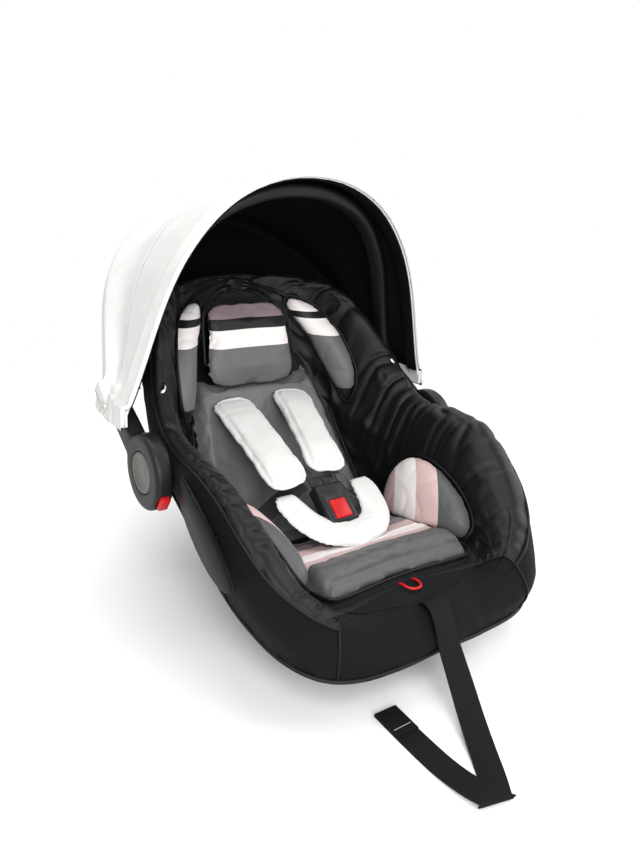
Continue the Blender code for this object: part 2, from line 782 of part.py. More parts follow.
# Padded cover inside the seam, and the plain band outside it
FOOT = 5
inner = [k for k in all_quads() if -8 <= k[1] < 8]
front = [k for k in inner if k[0] < FOOT and (k[1] >= 4 or k[1] < -4)]
outer = [k for k in all_quads() if k[1] >= 8 or k[1] < -8]
tub = tree_of(shell)
cover = region_solid("seat_cover", [k for k in inner if k not in front], -COVER_T, 0.0, -0.002,
                     "17171A", 0.55, soft=1, ease="low", above=tub)
band = region_solid("cover_band", outer + front, -COVER_T, 0.0, -0.002, "1B1B1E", 0.85, soft=1,
                    ease="low", above=tub)
for side in (1, -1):
    cut(cover, slot_tool(side * SHOULDER_X, SHOULDER_Y, (BELT_W + 0.010, 0.010, 0.05)))
    for target in (cover, band):
        hole = cylinder("tool", BOSS_R + 0.002, min(side * 0.17, side * 0.24),
                        max(side * 0.17, side * 0.24), HUB_Y, HUB_Z)
        cut(target, hole)
cut(cover, slot_tool(0, CROTCH_Y, (0.040, 0.011, 0.05)))
cut(cover, slot_tool(0, LEVER_Y + 0.0025, (0.029, 0.0125, 0.05)))
for target in (cover, band):
    cut(target, slot_tool(0, PULL_Y, (PULL_W + 0.007, 0.0085, 0.05)))

# Stuffed insert: seat pad, back pad, head pad, hip ears and head wings
LIFT = 0.0006
seat_pad = region_solid("seat_pad", pick(6, 15, 0, 4), LIFT, INSERT_T, 0.006, "4E4E4D", 0.6)
back_pad = region_solid("back_pad", pick(15, 26, 0, 4), LIFT, INSERT_T, 0.006, "525251", 0.6)
head_pad = region_solid("head_pad", pick(26, 32, 0, 3), LIFT, INSERT_T, 0.006, "B9A3A3", 0.6)
cut(seat_pad, slot_tool(0, CROTCH_Y, (0.038, 0.015, 0.06)))
for side, tag in ((1, "r"), (-1, "l")):
    flip = (lambda a, b: (a, b)) if side > 0 else (lambda a, b: (-b, -a))
    j0, j1 = flip(4, 6)
    region_solid("hip_ear_" + tag, pick(8, 14, j0, j1, False), LIFT, EAR_T, 0.007, "A89596", 0.6)
    j0, j1 = flip(3, 6)
    keys = pick(26, 30, j0, j1, False) + pick(24, 26, *flip(4, 6), False)
    region_solid("head_wing_" + tag, keys, LIFT, EAR_T, 0.007, "9C8F90", 0.6)
    cut(back_pad, slot_tool(side * SHOULDER_X, SHOULDER_Y, (BELT_W + 0.009, 0.010, 0.06)))

# Harness
for side, tag in ((1, "r"), (-1, "l")):
    here, nrm = on_seat(side * SHOULDER_X, SHOULDER_Y)
    low_end = BUCKLE + BUCKLE_L * 0.0457 + np.array([side * 0.020, 0, 0]) - BUCKLE_F * 0.0005
    exit_in = here + nrm * (INSERT_T + 0.004)
    path = [
        np.array([side * 0.027, 0.124, 0.172]),
        np.array([side * 0.037, 0.136, 0.198]),
        here - nrm * 0.026 + np.array([0, 0.004, -0.006]),
        here - nrm * 0.016,
        here,
        here + nrm * INSERT_T,
        exit_in + np.array([-side * 0.001, -0.006, -0.001]),
        exit_in * 0.80 + low_end * 0.20,
        exit_in * 0.5 + low_end * 0.5 + np.array([0, 0, -0.001]),
        exit_in * 0.2 + low_end * 0.8,
        low_end,
    ]
    sweep("shoulder_belt_" + tag, smooth_path(path, 26), BELT_W, BELT_T, (1, 0, 0), "151517", 0.8)
    start = exit_in * 0.93 + low_end * 0.07
    end = exit_in * 0.08 + low_end * 0.92
    v = (start - end) / np.linalg.norm(start - end)
    w = np.array([-1.0, 0, 0])
    up = np.cross(v, w)
    if up[2] < 0:
        up = -up
    right = np.cross(v, up)
    outline = rounded_outline(SHOULDER_PAD_L, SHOULDER_PAD_W, 0.020, 4)
    centre = (start + end) / 2 - up * 0.0002 + np.array([side * 0.0085, 0, 0])
    centre = centre + up * SHOULDER_PAD_T * 0.35
    pillow("shoulder_pad_" + tag, (centre, v, right, up), outline, SHOULDER_PAD_T, "E9E7E4", 0.75,
           flat=0.25)
    plate = [(-0.006, -0.012), (0.012, -0.012), (0.016, -0.016), (0.016, 0.016), (0.012, 0.012),
             (-0.006, 0.012)]
    tongue_centre = BUCKLE + BUCKLE_L * 0.028 + np.array([side * 0.0105, 0, 0])
    block("tongue_" + tag, (0.0185, 0.026, 0.0022), tongue_centre + BUCKLE_L * 0.0035,
          rot=facing(BUCKLE_F), bevel=0.0006, colour="202022", rough=0.35)
    here, nrm = on_seat(side * 0.108, -0.035)
    hip = [here + nrm * 0.026, here * 0.55 + low_end * 0.45 + np.array([0, 0, 0.016]),
           low_end + np.array([side * 0.006, -0.0019, -0.0041])]
    sweep("hip_belt_" + tag, smooth_path(hip, 12), BELT_W, BELT_T, (0, 0.8, 0.6), "151517", 0.8)

turn = facing(BUCKLE_F)
buckle = block("buckle_body", (0.046, 0.058, 0.021), BUCKLE, rot=turn, bevel=0.0045, segments=3,
               colour="18181A", rough=0.35)
mouth = block("tool", (0.0405, 0.030, 0.0036), BUCKLE + BUCKLE_L * 0.0265, rot=turn)
cut(buckle, mouth)
BUTTON = BUCKLE + BUCKLE_F * 0.0085 - BUCKLE_L * 0.010
cut(buckle, block("tool", (0.0262, 0.0282, 0.0125), BUTTON, rot=turn, bevel=0.003))
block("buckle_button", (0.0255, 0.0275, 0.0060), BUTTON + BUCKLE_F * 0.0010, rot=turn,
      bevel=0.0026, segments=3, colour="B3262B", rough=0.35)
slot_low = BUCKLE - BUCKLE_L * 0.0300
anchor_z = min(under_shell(side * 0.023, CROTCH_Y) for side in (-1, 1)) - 0.0019
crotch = [np.array([0, CROTCH_Y, anchor_z + 0.0018]), np.array([0, CROTCH_Y, 0.085]),
          np.array([0, CROTCH_Y - 0.001, 0.105]),
          slot_low + np.array([0.002, 0.004, -0.010]), slot_low + np.array([0.002, 0, 0])]
crotch[3] = (crotch[2] + crotch[4]) / 2
sweep("crotch_strap", smooth_path(crotch, 12), 0.030, BELT_T, (1, 0, 0), "151517", 0.8)
block("crotch_anchor", (0.052, 0.012, 0.003), (0, CROTCH_Y, anchor_z), bevel=0.0008,
      colour="B4B4B4", rough=0.3, metal=1.0)

# White horseshoe pad round the buckle strap, laid over the hip belts
wing = [(-0.080, -0.050, 0.160), (-0.068, -0.076, 0.149), (-0.042, -0.108, 0.132),
        (-0.014, -0.1335, 0.1205), (0.014, -0.1335, 0.1205), (0.042, -0.108, 0.132),
        (0.068, -0.076, 0.149), (0.080, -0.050, 0.160)]
sweep("crotch_pad", smooth_path(wing, 16), 0.040, 0.0085, (0, -0.72, 0.30), "E9E7E4", 0.75,
      corner=0.0036, sides=3)

# Harness parts behind and below the tub
yoke_c = np.array([0, 0.1200, 0.1610])
yoke_turn = facing((0, 0.83, -0.56))
yoke = block("harness_yoke", (0.070, 0.030, 0.0022), yoke_c, rot=yoke_turn, bevel=0.0007,
             colour="B4B4B4", rough=0.3, metal=1.0)
sweep("rear_webbing", smooth_path(WEBBING, 22), PULL_W, PULL_T, (1, 0, 0), "151517", 0.8)

# Strap adjuster in the front of the tub, with its red lever loop and the free pull strap
HOUSE_Z = on_seat(0, -0.243)[0][2] + SHELL_TOP
HOUSE_Z -= 0.0024
housing = block("adjuster_housing", (0.040, 0.032, 0.015), (0, -0.2430, HOUSE_Z - 0.0076),
                bevel=0.0012, colour="202022", rough=0.4)
LEVER_Z = HOUSE_Z - 0.004
cut(housing, block("tool", (0.0262, 0.0095, 0.0125), (0, LEVER_Y, LEVER_Z + 0.001)))
cut(housing, block("tool", (0.034, 0.0085, 0.0095), (0, -0.2601, HOUSE_Z - 0.0102)), "UNION")
lip = on_seat(0, LEVER_Y)[0][2]
loop = [(-0.0105, LEVER_Y, LEVER_Z), (-0.0105, LEVER_Y, lip - 0.001),
        (-0.0105, LEVER_Y - 0.0018, lip + 0.0022), (-0.0105, LEVER_Y - 0.008, lip + 0.0030)]
for k in range(7):
    a = math.pi * (1 + k / 6.0)
    loop.append((0.0105 * math.cos(a), LEVER_Y - 0.010 + 0.0105 * math.sin(a), lip + 0.0030))
loop += [(0.0105, LEVER_Y - 0.008, lip + 0.0030), (0.0105, LEVER_Y - 0.0018, lip + 0.0022),
         (0.0105, LEVER_Y, lip - 0.001), (0.0105, LEVER_Y, LEVER_Z)]
sweep("adjuster_lever", smooth_path(loop, 26), 0.0032, 0.0032, (0.2, 0.3, 0.93), "C0282D", 0.35,
      corner=0.0010, sides=2, origin=(0, LEVER_Y, LEVER_Z))
PULL = [
    (0.000, -0.2655, 0.0860), (0.000, -0.2665, 0.0980), (0.000, -0.2690, 0.1075),
    (0.000, -0.2755, 0.1115), (0.000, -0.2860, 0.1080), (0.000, -0.2960, 0.0940),
    (0.000, -0.3060, 0.0740), (-0.001, -0.3210, 0.0540), (-0.005, -0.3400, 0.0350),
    (-0.013, -0.3640, 0.0170), (-0.025, -0.3910, 0.0055), (-0.039, -0.4160, 0.0015),
    (-0.052, -0.4340, 0.0014), (-0.0595, -0.4430, 0.0022), (-0.0625, -0.4445, 0.0052),
    (-0.0655, -0.4400, 0.0072), (-0.0710, -0.4200, 0.0052), (-0.0735, -0.3850, 0.0020),
    (-0.0730, -0.3400, 0.0012), (-0.0710, -0.2910, 0.0012),
]
# Turn of the strap's cross lines about the vertical, in degrees; they stay level on the floor
PULL_TURN = [0, 0, 0, 0, 0, 0, -3, -8, -15, -20, -24, -26, -22, -16, -12, -8, 2, 2, -1, -2]
pull_across = [(math.cos(math.radians(a[0])), math.sin(math.radians(a[0])), 0.0)
               for a in smooth_path([(a, 0) for a in PULL_TURN], 76)]
sweep("pull_strap", smooth_path(PULL, 76), PULL_W, PULL_T, pull_across, "151517", 0.8, ruled=True)


def hoop(share, grow=0.0):
    """Half hoop outline: share 0 at the top to 1 at the foot; returns width and height."""
    line = [(0.0, 0.2825), (0.040, 0.2790), (0.075, 0.2685), (0.105, 0.2530), (0.130, 0.2330),
            (0.152, 0.2080), (0.171, 0.1790), (0.187, 0.1450), (0.2005, 0.1070), (0.213, 0.0670),
            (0.224, 0.0330), (0.2310, 0.0145), (0.2360, 0.0)]
    scale = (TAB_IN + TAB_OUT) / 2 / 0.236
    t = share * (len(line) - 1)
    table = [(-line[1][0], line[1][1])] + line
    p = catmull(table, t + 1)
    q = catmull(table, min(t + 1.05, len(table) - 1.0))
    o = catmull(table, max(t + 0.95, 0.0))
    d = q - o
    d = d / np.linalg.norm(d)
    n = np.array([-d[1], d[0]])
    p = p + n * grow
    return np.array([p[0] * scale if share > 0 else 0.0, p[1] * RISE])


def front_y(height):
    return 0.034 - 0.085 * height


def front_point(u, grow=0.0, dy=0.0):
    """Point of the front bow; u runs from -1 at the left foot over the top to 1."""
    w, h = hoop(abs(u), grow)
    return np.array([math.copysign(w, u), front_y(h) + dy, FOLD_Z + h])


REAR_A = math.radians(REAR_BOW_DEG)


def rear_point(u, grow=0.0, ahead=0.0):
    """Point of the rear bow, tilted back about the fold axis."""
    w, h = hoop(abs(u), grow + 0.0030)
    h = max(h, 0.0) * REAR_LONG
    near = min(max(1.0 - h / 0.045, 0.0), 1.0)
    near = min(1.0, near * near * (3 - 2 * near) * 1.6)
    w += (TAB_OUT + 0.0016 + grow - w) * near
    y = FOLD_Y + h * math.cos(REAR_A) - ahead * math.sin(REAR_A)
    z = FOLD_Z + h * math.sin(REAR_A) + ahead * math.cos(REAR_A)
    return np.array([math.copysign(w, u), y, z])


# Carrying handle: two cranked arms and a grip, with a drum at each hub
def arm_side(sign):
    w_arm = DRUM_IN + DRUM_T / 2
    points = [((w_arm, HUB_Y, HUB_Z), 0.036, DRUM_T), ((w_arm, 0.018, 0.2305), 0.036, DRUM_T),
              ((w_arm, 0.050, 0.2500), 0.034, DRUM_T), ((w_arm, 0.073, 0.2650), 0.031, DRUM_T),
              ((w_arm - 0.0010, 0.0825, 0.2830), 0.030, 0.020)]
    for height, y, wide in ((0.042, 0.0840, 0.030), (0.072, 0.0820, 0.029), (0.107, 0.0770, 0.028),
                            (0.145, 0.0690, 0.028), (0.179, 0.0610, 0.028), (0.208, 0.0540, 0.028),
                            (0.233, 0.0480, 0.029), (0.253, 0.0430, 0.030), (0.2685, 0.0390, 0.031),
                            (0.279, 0.0365, 0.032)):
        share = 0.0
        best = 9.0
        for k in range(401):
            gap = abs(hoop(k / 400)[1] - height * RISE)
            if gap < best:
                best, share = gap, k / 400
        slim = min(max(0.0, (height - 0.030) / 0.050), max(0.0, (0.285 - height) / 0.050), 1.0)
        thick = GRIP_T + (ARM_T - GRIP_T) * slim
        w, h = hoop(share, -(thick / 2 + 0.0076))
        points.append(((w, y, FOLD_Z + h), wide, thick))
    return [((sign * p[0], p[1], p[2]), a, b) for p, a, b in points]


right_arm = arm_side(1)
top_w, top_h = hoop(0.0, -(GRIP_T / 2 + 0.0076))
line = right_arm + [((0.0, 0.036, FOLD_Z + top_h), 0.032, GRIP_T)] + arm_side(-1)[::-1]
centre_line = [p for p, a, b in line]
STEPS = 48
fine = smooth_path(centre_line, STEPS)
sizes = smooth_path([(a, b) for p, a, b in line], STEPS)
across = []
for k, p in enumerate(fine):
    t = fine[min(k + 1, STEPS)] - fine[max(k - 1, 0)]
    t /= np.linalg.norm(t)
    out = np.array([p[0], 0.0, max(p[2] - 0.30, 0.0)])
    if abs(p[0]) > DRUM_IN:
        out = np.array([p[0], 0.0, 0.0])
    across.append(np.cross(out / np.linalg.norm(out), t))
handle = sweep("carry_handle", fine, [s[0] for s in sizes], [s[1] for s in sizes], across,
               "1A1A1C", 0.4, origin=(0, HUB_Y, HUB_Z), corner=0.0065, sides=3)
handle.data.transform(Matrix.Translation((0, HUB_Y, HUB_Z)))
handle.location = (0, 0, 0)
RED_A = math.radians(214)
for sign in (1, -1):
    x0, x1 = sorted((sign * DRUM_IN, sign * DRUM_OUT))
    b = 0.0035
    profile = [(0, x0), (DRUM_R - b, x0), (DRUM_R, x0 + b), (DRUM_R, x1 - b), (DRUM_R - b, x1),
               (0, x1)]
    cut(handle, lathe("tool", profile, (0, HUB_Y, HUB_Z), steps=32), "UNION")
for sign, tag in ((1, "r"), (-1, "l")):
    deep, far = sorted((sign * (DRUM_OUT - 0.0105), sign * (DRUM_OUT + 0.01)))
    cut(handle, cylinder("tool", DISC_R + 0.0008, deep, far, HUB_Y, HUB_Z, steps=28))
    deep, far = sorted((sign * (DRUM_IN - 0.01), sign * DRUM_OUT))
    cut(handle, cylinder("tool", PIN_R + 0.0005, deep, far, HUB_Y, HUB_Z, steps=24))
    deep, far = sorted((sign * (DRUM_IN + 0.007), sign * (DRUM_OUT + 0.004)))
    cut(handle, cylinder("tool", 0.0032, deep, far, FOLD_Y, FOLD_Z, steps=16))
    d = np.array([0, math.cos(RED_A), math.sin(RED_A)])
    red_c = np.array([sign * (DRUM_IN + DRUM_T / 2), HUB_Y, HUB_Z])
    turn = facing(d)
    cut(handle, block("tool", (0.0128, 0.0200, 0.030), red_c + d * 0.0475, rot=turn))
    block("stroller_release_" + tag, (0.0120, 0.0192, 0.0135), red_c + d * 0.0432, rot=turn,
          bevel=0.0018, colour="B3262B", rough=0.35, origin=red_c + d * 0.0432)
    x0, x1 = sorted((sign * (DRUM_IN + 0.0001), sign * (DRUM_OUT - 0.0112)))
    cylinder("hub_pin_" + tag, PIN_R, x0, x1, HUB_Y, HUB_Z, steps=24, colour="9A9A9A",
             rough=0.3, metal=1.0, origin=(x0, HUB_Y, HUB_Z))
    x0, x1 = sign * (DRUM_OUT - 0.0058), sign * (DRUM_OUT + 0.0006)
    profile = [(0, x0), (DISC_R, x0), (DISC_R, x1 - sign * 0.0012), (DISC_R - 0.0012, x1),
               (DISC_R - 0.0050, x1), (DISC_R - 0.0058, x1 - sign * 0.0008), (0, x1 - sign * 0.0008)]
    lathe("hub_button_" + tag, profile, (0, HUB_Y, HUB_Z), steps=28, colour="8F8F8C", rough=0.4,
          origin=(x0, HUB_Y, HUB_Z))
    x0 = sign * (DRUM_IN + 0.0085)
    x1 = sign * (TAB_OUT + 0.0004 + 0.0020 + 0.0005 + CLOTH_T + 0.0004)
    profile = [(0, x0), (0.0026, x0), (0.0026, x1), (0.0068, x1), (0.0062, x1 + sign * 0.0014),
               (0.0040, x1 + sign * 0.0022), (0, x1 + sign * 0.0025)]
    lathe("canopy_rivet_" + tag, profile, (0, FOLD_Y, FOLD_Z), steps=20, colour="7E7E7C",
          rough=0.35, metal=1.0, origin=(x0, FOLD_Y, FOLD_Z))
handle.data.transform(Matrix.Translation((0, -HUB_Y, -HUB_Z)))
handle.location = (0, HUB_Y, HUB_Z)


def bow(name, spot, steps, half, thick, colour):
    """Flat band through spot(u, grow, along) for u from -1 to 1."""
    verts = []
    faces = []
    for k in range(steps + 1):
        u = -1 + 2 * k / steps
        for grow, along in ((-thick / 2, -half), (thick / 2, -half), (thick / 2, half),
                            (-thick / 2, half)):
            verts.append(spot(u, grow, along))
    for k in range(steps):
        a, b = 4 * k, 4 * (k + 1)
        for s in range(4):
            m = (s + 1) % 4
            faces.append((a + s, a + m, b + m, b + s))
    faces += [(3, 2, 1, 0), tuple(4 * steps + s for s in range(4))]
    return add(name, verts, faces, colour, 0.5)


front_bow = bow("canopy_front_bow", front_point, 44, BAND_W / 2, BAND_T, "E4E4E2")
rear_bow = bow("canopy_rear_bow", lambda u, g, a: rear_point(u, g, a), 44, 0.0065, 0.0020, "222224")
for sign in (1, -1):
    foot = [(0.022, -0.010), (0.022, 0.010), (0.076, 0.0105), (0.083, 0.0085), (0.0870, 0.0045),
            (0.0885, 0.0), (0.0870, -0.0045), (0.083, -0.0085), (0.076, -0.0105)]
    frame = ((sign * TAB_IN, 0, FOLD_Z), (0, 1, 0), (0, 0, 1), (sign, 0, 0))
    cut(front_bow, outline_plate("tool", foot, frame, BAND_T), "UNION")
    x_eye = TAB_OUT + 0.0006
    x0, x1 = sorted((sign * x_eye, sign * (x_eye + 0.0020)))
    cut(rear_bow, cylinder("tool", 0.0085, x0, x1, FOLD_Y, FOLD_Z, steps=24), "UNION")
    for target in (front_bow, rear_bow):
        x0, x1 = sorted((sign * (TAB_IN - 0.0146), sign * (TAB_OUT + 0.0226)))
        cut(target, cylinder("tool", 0.0034, x0, x1, FOLD_Y, FOLD_Z, steps=16))
for obj in (front_bow, rear_bow):
    obj.data.transform(Matrix.Translation((0, -FOLD_Y, -FOLD_Z)))
    obj.location = (0, FOLD_Y, FOLD_Z)

# Canopy cloth: a roof from the front bow to the rear bow, and a skirt down to the tub
COLS = 30
OUT_G = BAND_T / 2 + 0.0010


def hem_point(u):
    """Lower edge of the skirt, round the back of the tub and out to the fold rivet."""
    a = abs(u)
    if a < 0.72:
        t = 16 - a / 0.72 * 4.9
        p, q = section(t)[0][10], section(t)[0][7]
        out = p[:2] - q[:2]
        out /= np.linalg.norm(out)
        p = np.array([p[0] + out[0] * 0.012, p[1] + out[1] * 0.012, p[2] - 0.008])
    else:
        first = hem_point(0.7199)
        f = (a - 0.72) / 0.28
        ctrl = [np.abs(first), np.array([0.2170, 0.1200, 0.2700]),
                np.array([0.2350, 0.1180, 0.2600]), np.array([0.2422, 0.0970, 0.2550])]
        p = catmull(ctrl, 3 * f)
    return np.array([math.copysign(p[0], u), p[1], p[2]])


def cloth_solid(name, rows, colour):
    """Closed cloth body from rows of points, thickened outward."""
    grid = np.array(rows)
    n, m = grid.shape[:2]
    du = np.gradient(grid, axis=1)
    dv = np.gradient(grid, axis=0)
    nor = np.cross(du, dv)
    nor /= np.maximum(np.linalg.norm(nor, axis=2), 1e-9)[:, :, None]
    if np.dot(nor[n // 2, m // 2], grid[n // 2, m // 2] - np.array([0.0, 0.05, 0.30])) < 0:
        nor = -nor
    outer_grid = grid + nor * CLOTH_T
    verts = [p for r in grid for p in r] + [p for r in outer_grid for p in r]
    size = n * m
    faces = []
    for i in range(n - 1):
        for j in range(m - 1):
            a, b, c, d = i * m + j, i * m + j + 1, (i + 1) * m + j + 1, (i + 1) * m + j
            faces.append((a, b, c, d))
            faces.append((d + size, c + size, b + size, a + size))
    edge = [i for i in range(m)] + [i * m + m - 1 for i in range(1, n)]
    edge += [(n - 1) * m + j for j in range(m - 2, -1, -1)] + [i * m for i in range(n - 2, 0, -1)]
    for a, b in zip(edge, edge[1:] + edge[:1]):
        faces.append((b, a, a + size, b + size))
    return add(name, verts, faces, colour, 0.85)


def low_line(u, y, z):
    return np.array([math.copysign(TAB_OUT + 0.0032, u), y, z])


columns = [-1 + 2 * k / COLS for k in range(COLS + 1)]
roof = []
for part in range(6):
    row = []
    for u in columns:
        a = front_point(u, OUT_G, -BAND_W / 2 - 0.003)
        b = front_point(u, OUT_G, BAND_W / 2 + 0.002)
        c = rear_point(u, OUT_G - 0.0005, 0.008)
        d = rear_point(u, OUT_G - 0.0005, -0.0075)
        if abs(u) > 0.999:
            a = low_line(u, 0.022, FOLD_Z - 0.0135)
            b = low_line(u, 0.042, FOLD_Z - 0.0140)
            c = low_line(u, 0.074, FOLD_Z - 0.0140)
            d = low_line(u, 0.091, FOLD_Z - 0.0110)
        else:
            for q in (a, b, c, d):
                if abs(q[0]) > TAB_OUT - 0.004:
                    q[0] = math.copysign(TAB_OUT + 0.0032, u)
        spots = [a, b, b + (c - b) * 0.33, b + (c - b) * 0.67, c, d]
        p = spots[part].copy()
        if part in (2, 3):
            p[2] += (0.004 if part == 2 else 0.001) * (1 - abs(u))
        row.append(p)
    roof.append(row)
canopy = cloth_solid("canopy_roof", roof, "E9E8E5")
skirt = []
for part in range(5):
    row = []
    for k, u in enumerate(columns):
        top_p = roof[5][k] + np.array([0, 0.0006 + 0.0022 * (abs(u) > 0.99), -0.0007])
        low_p = hem_point(u)
        f = part / 4
        p = top_p + (low_p - top_p) * f
        swell = 0.010 * math.sin(math.pi * f) * (1 - abs(u) ** 4)
        p = p + np.array([0, swell, -swell * 0.2])
        row.append(p)
    skirt.append(row)
skirt_cloth = cloth_solid("canopy_skirt", skirt, "E9E8E5")
for sign in (1, -1):
    x0, x1 = sorted((sign * (TAB_IN - 0.0146), sign * (TAB_OUT + 0.0226)))
    cut(canopy, cylinder("tool", 0.0034, x0, x1, FOLD_Y, FOLD_Z, steps=12))

# Belt guides, one on each flank
for side, tag in ((1, "r"), (-1, "l")):
    span = GUIDE_B - GUIDE_A
    length = np.linalg.norm(span)
    a = np.array([0, span[0], span[1]]) / length
    down = np.array([0, -a[2], a[1]])
    if down[2] > 0:
        down = -down
    outline = [(0.0, 0.0)]
    for k in range(1, 14):
        s = k / 14
        outline.append((length * s, 0.006 * math.sin(math.pi * s)))
    outline.append((length, 0.0))
    for k in range(1, 16):
        ang = math.pi * k / 16
        outline.append((length / 2 * (1 + math.cos(ang)), -0.040 * math.sin(ang) ** 0.75))
    outline = [(p, -q) for p, q in outline]
    org = np.array([side * (DRUM_IN + 0.0015), GUIDE_A[0], GUIDE_A[1]])
    guide = outline_plate("belt_guide_" + tag, outline, (org, a, down, (side, 0, 0)), 0.0060,
                          bevel=0.0018, colour="1C1C1E", rough=0.3, origin=org)
    mid = org + a * length * 0.5 + down * 0.016
    hit = SHELL_TREE.ray_cast(Vector((side * 0.5, mid[1], mid[2])), Vector((-side, 0, 0)))
    x_shell = hit[0].x
    x0, x1 = sorted((x_shell + side * 0.0012, side * (DRUM_IN + 0.0030)))
    cut(guide, block("tool", (x1 - x0, 0.030, 0.012), ((x0 + x1) / 2, mid[1], mid[2]),
                     bevel=0.002), "UNION")
    for target in (cover, band):
        cut(target, block("tool", (0.05, 0.0325, 0.0145), (side * (DRUM_IN - 0.0070), mid[1], mid[2])))

# Press studs that hold the cover at the shoulders
for side, tag in ((1, "r"), (-1, "l")):
    spot = section(10.2)[0][7]
    aim = Vector((0, 0.7, -0.7))
    hit = TREE.ray_cast(Vector((side * spot[0], spot[1], spot[2])) - aim * 0.15, aim)
    here, nrm = hit[0], hit[1]
    if nrm.z < 0:
        nrm = -nrm
    turn = facing(nrm, (0, 1, 0))
    profile = [(0, 0.0006), (0.0078, 0.0006), (0.0078, 0.0016), (0.0062, 0.0030), (0.0040, 0.0022),
               (0, 0.0022)]
    lathe("cover_stud_" + tag, profile, here, steps=20, colour="B9B9B8", rough=0.3, metal=1.0,
          turn=turn, origin=here)
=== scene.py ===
# %% [markdown]
# This script dresses a packed set of solids as an infant carrier seat: a moulded tub with a padded
# cover, a harness, a swing handle and a folding canopy. The frame is loaded first. It brings every
# solid in metres, and each new piece below is made where its solid already is.

# %% Load the frame
import math

import bmesh
import bpy
import numpy as np
from mathutils import Matrix, Vector, noise
from mathutils.bvhtree import BVHTree
from mathutils.kdtree import KDTree


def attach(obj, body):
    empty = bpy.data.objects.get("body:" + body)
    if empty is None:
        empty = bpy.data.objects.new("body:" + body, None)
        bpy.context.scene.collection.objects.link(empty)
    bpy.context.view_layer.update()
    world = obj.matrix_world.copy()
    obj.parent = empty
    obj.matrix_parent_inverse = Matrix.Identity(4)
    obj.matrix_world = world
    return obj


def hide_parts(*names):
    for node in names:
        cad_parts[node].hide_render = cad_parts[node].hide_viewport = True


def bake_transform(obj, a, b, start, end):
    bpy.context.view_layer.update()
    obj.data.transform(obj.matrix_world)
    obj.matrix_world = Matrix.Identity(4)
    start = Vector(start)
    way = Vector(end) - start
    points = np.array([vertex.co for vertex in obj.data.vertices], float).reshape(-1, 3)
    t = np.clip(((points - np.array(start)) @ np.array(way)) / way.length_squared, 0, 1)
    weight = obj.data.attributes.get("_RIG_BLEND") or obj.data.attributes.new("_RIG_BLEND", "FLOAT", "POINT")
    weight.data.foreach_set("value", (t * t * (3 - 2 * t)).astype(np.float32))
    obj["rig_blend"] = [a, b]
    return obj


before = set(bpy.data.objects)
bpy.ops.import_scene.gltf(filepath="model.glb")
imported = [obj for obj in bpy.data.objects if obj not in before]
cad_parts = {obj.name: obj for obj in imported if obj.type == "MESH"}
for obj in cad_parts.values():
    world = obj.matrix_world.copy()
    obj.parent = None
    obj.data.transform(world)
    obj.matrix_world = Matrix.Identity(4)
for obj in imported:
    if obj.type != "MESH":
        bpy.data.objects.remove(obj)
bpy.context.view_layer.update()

# %% [markdown]
# The camera comes first, because everything else is judged through it. The seat is seen from its
# front left corner, a little above the rim, and the camera leans over by about four degrees. A
# camera looks along its own -Z axis, so its matrix is built from three directions: right, up, back.

# %% Camera
AZIMUTH, ELEVATION, LEAN = math.radians(-37.3), math.radians(19.3), math.radians(4.05)
AIM = Vector((0.037, 0.005, 0.222))
DISTANCE = 1.015
SENSOR_MM, FOCAL_PIXELS, FRAME_PIXELS = 36.0, 730, 853
back = Vector((math.sin(AZIMUTH) * math.cos(ELEVATION),
               -math.cos(AZIMUTH) * math.cos(ELEVATION), math.sin(ELEVATION)))
right = Vector((math.cos(AZIMUTH), math.sin(AZIMUTH), 0))
up = back.cross(right)
lean_right = right * math.cos(LEAN) + up * math.sin(LEAN)
lean_up = up * math.cos(LEAN) - right * math.sin(LEAN)
bpy.ops.object.select_all(action="DESELECT")
bpy.ops.object.camera_add(location=AIM + back * DISTANCE)
camera = bpy.context.object
turn = Matrix((lean_right, lean_up, back)).transposed()
camera.matrix_world = Matrix.Translation(AIM + back * DISTANCE) @ turn.to_4x4()
camera.data.sensor_fit = "VERTICAL"
camera.data.sensor_height = SENSOR_MM
camera.data.lens = SENSOR_MM * FOCAL_PIXELS / FRAME_PIXELS
camera.data.clip_start = 0.02
bpy.context.scene.camera = camera
print("camera at", [round(c, 3) for c in camera.location])

# %% [markdown]
# The loose strap is next. It is a 30 mm webbing that comes up through a slot in the front of the
# seat, falls over the edge and lies on the floor in one fold. Its route repeats the points of the
# solid. A flat strip is easiest as a ribbon of quads with a UV map that runs along it in metres.

# %% Route of the pull strap
PULL_WIDTH, PULL_THICK = 0.030, 0.0018
PULL_ROUTE = [
    (0.000, -0.2655, 0.0860), (0.000, -0.2665, 0.0980), (0.000, -0.2690, 0.1075),
    (0.000, -0.2755, 0.1115), (0.000, -0.2860, 0.1080), (0.000, -0.2960, 0.0940),
    (0.000, -0.3060, 0.0740), (-0.001, -0.3210, 0.0540), (-0.005, -0.3400, 0.0350),
    (-0.013, -0.3640, 0.0170), (-0.025, -0.3910, 0.0055), (-0.039, -0.4160, 0.0015),
    (-0.052, -0.4340, 0.0014), (-0.0595, -0.4430, 0.0022), (-0.0625, -0.4445, 0.0052),
    (-0.0655, -0.4400, 0.0072), (-0.0710, -0.4200, 0.0052), (-0.0735, -0.3850, 0.0020),
    (-0.0730, -0.3400, 0.0012), (-0.0710, -0.2910, 0.0012),
]


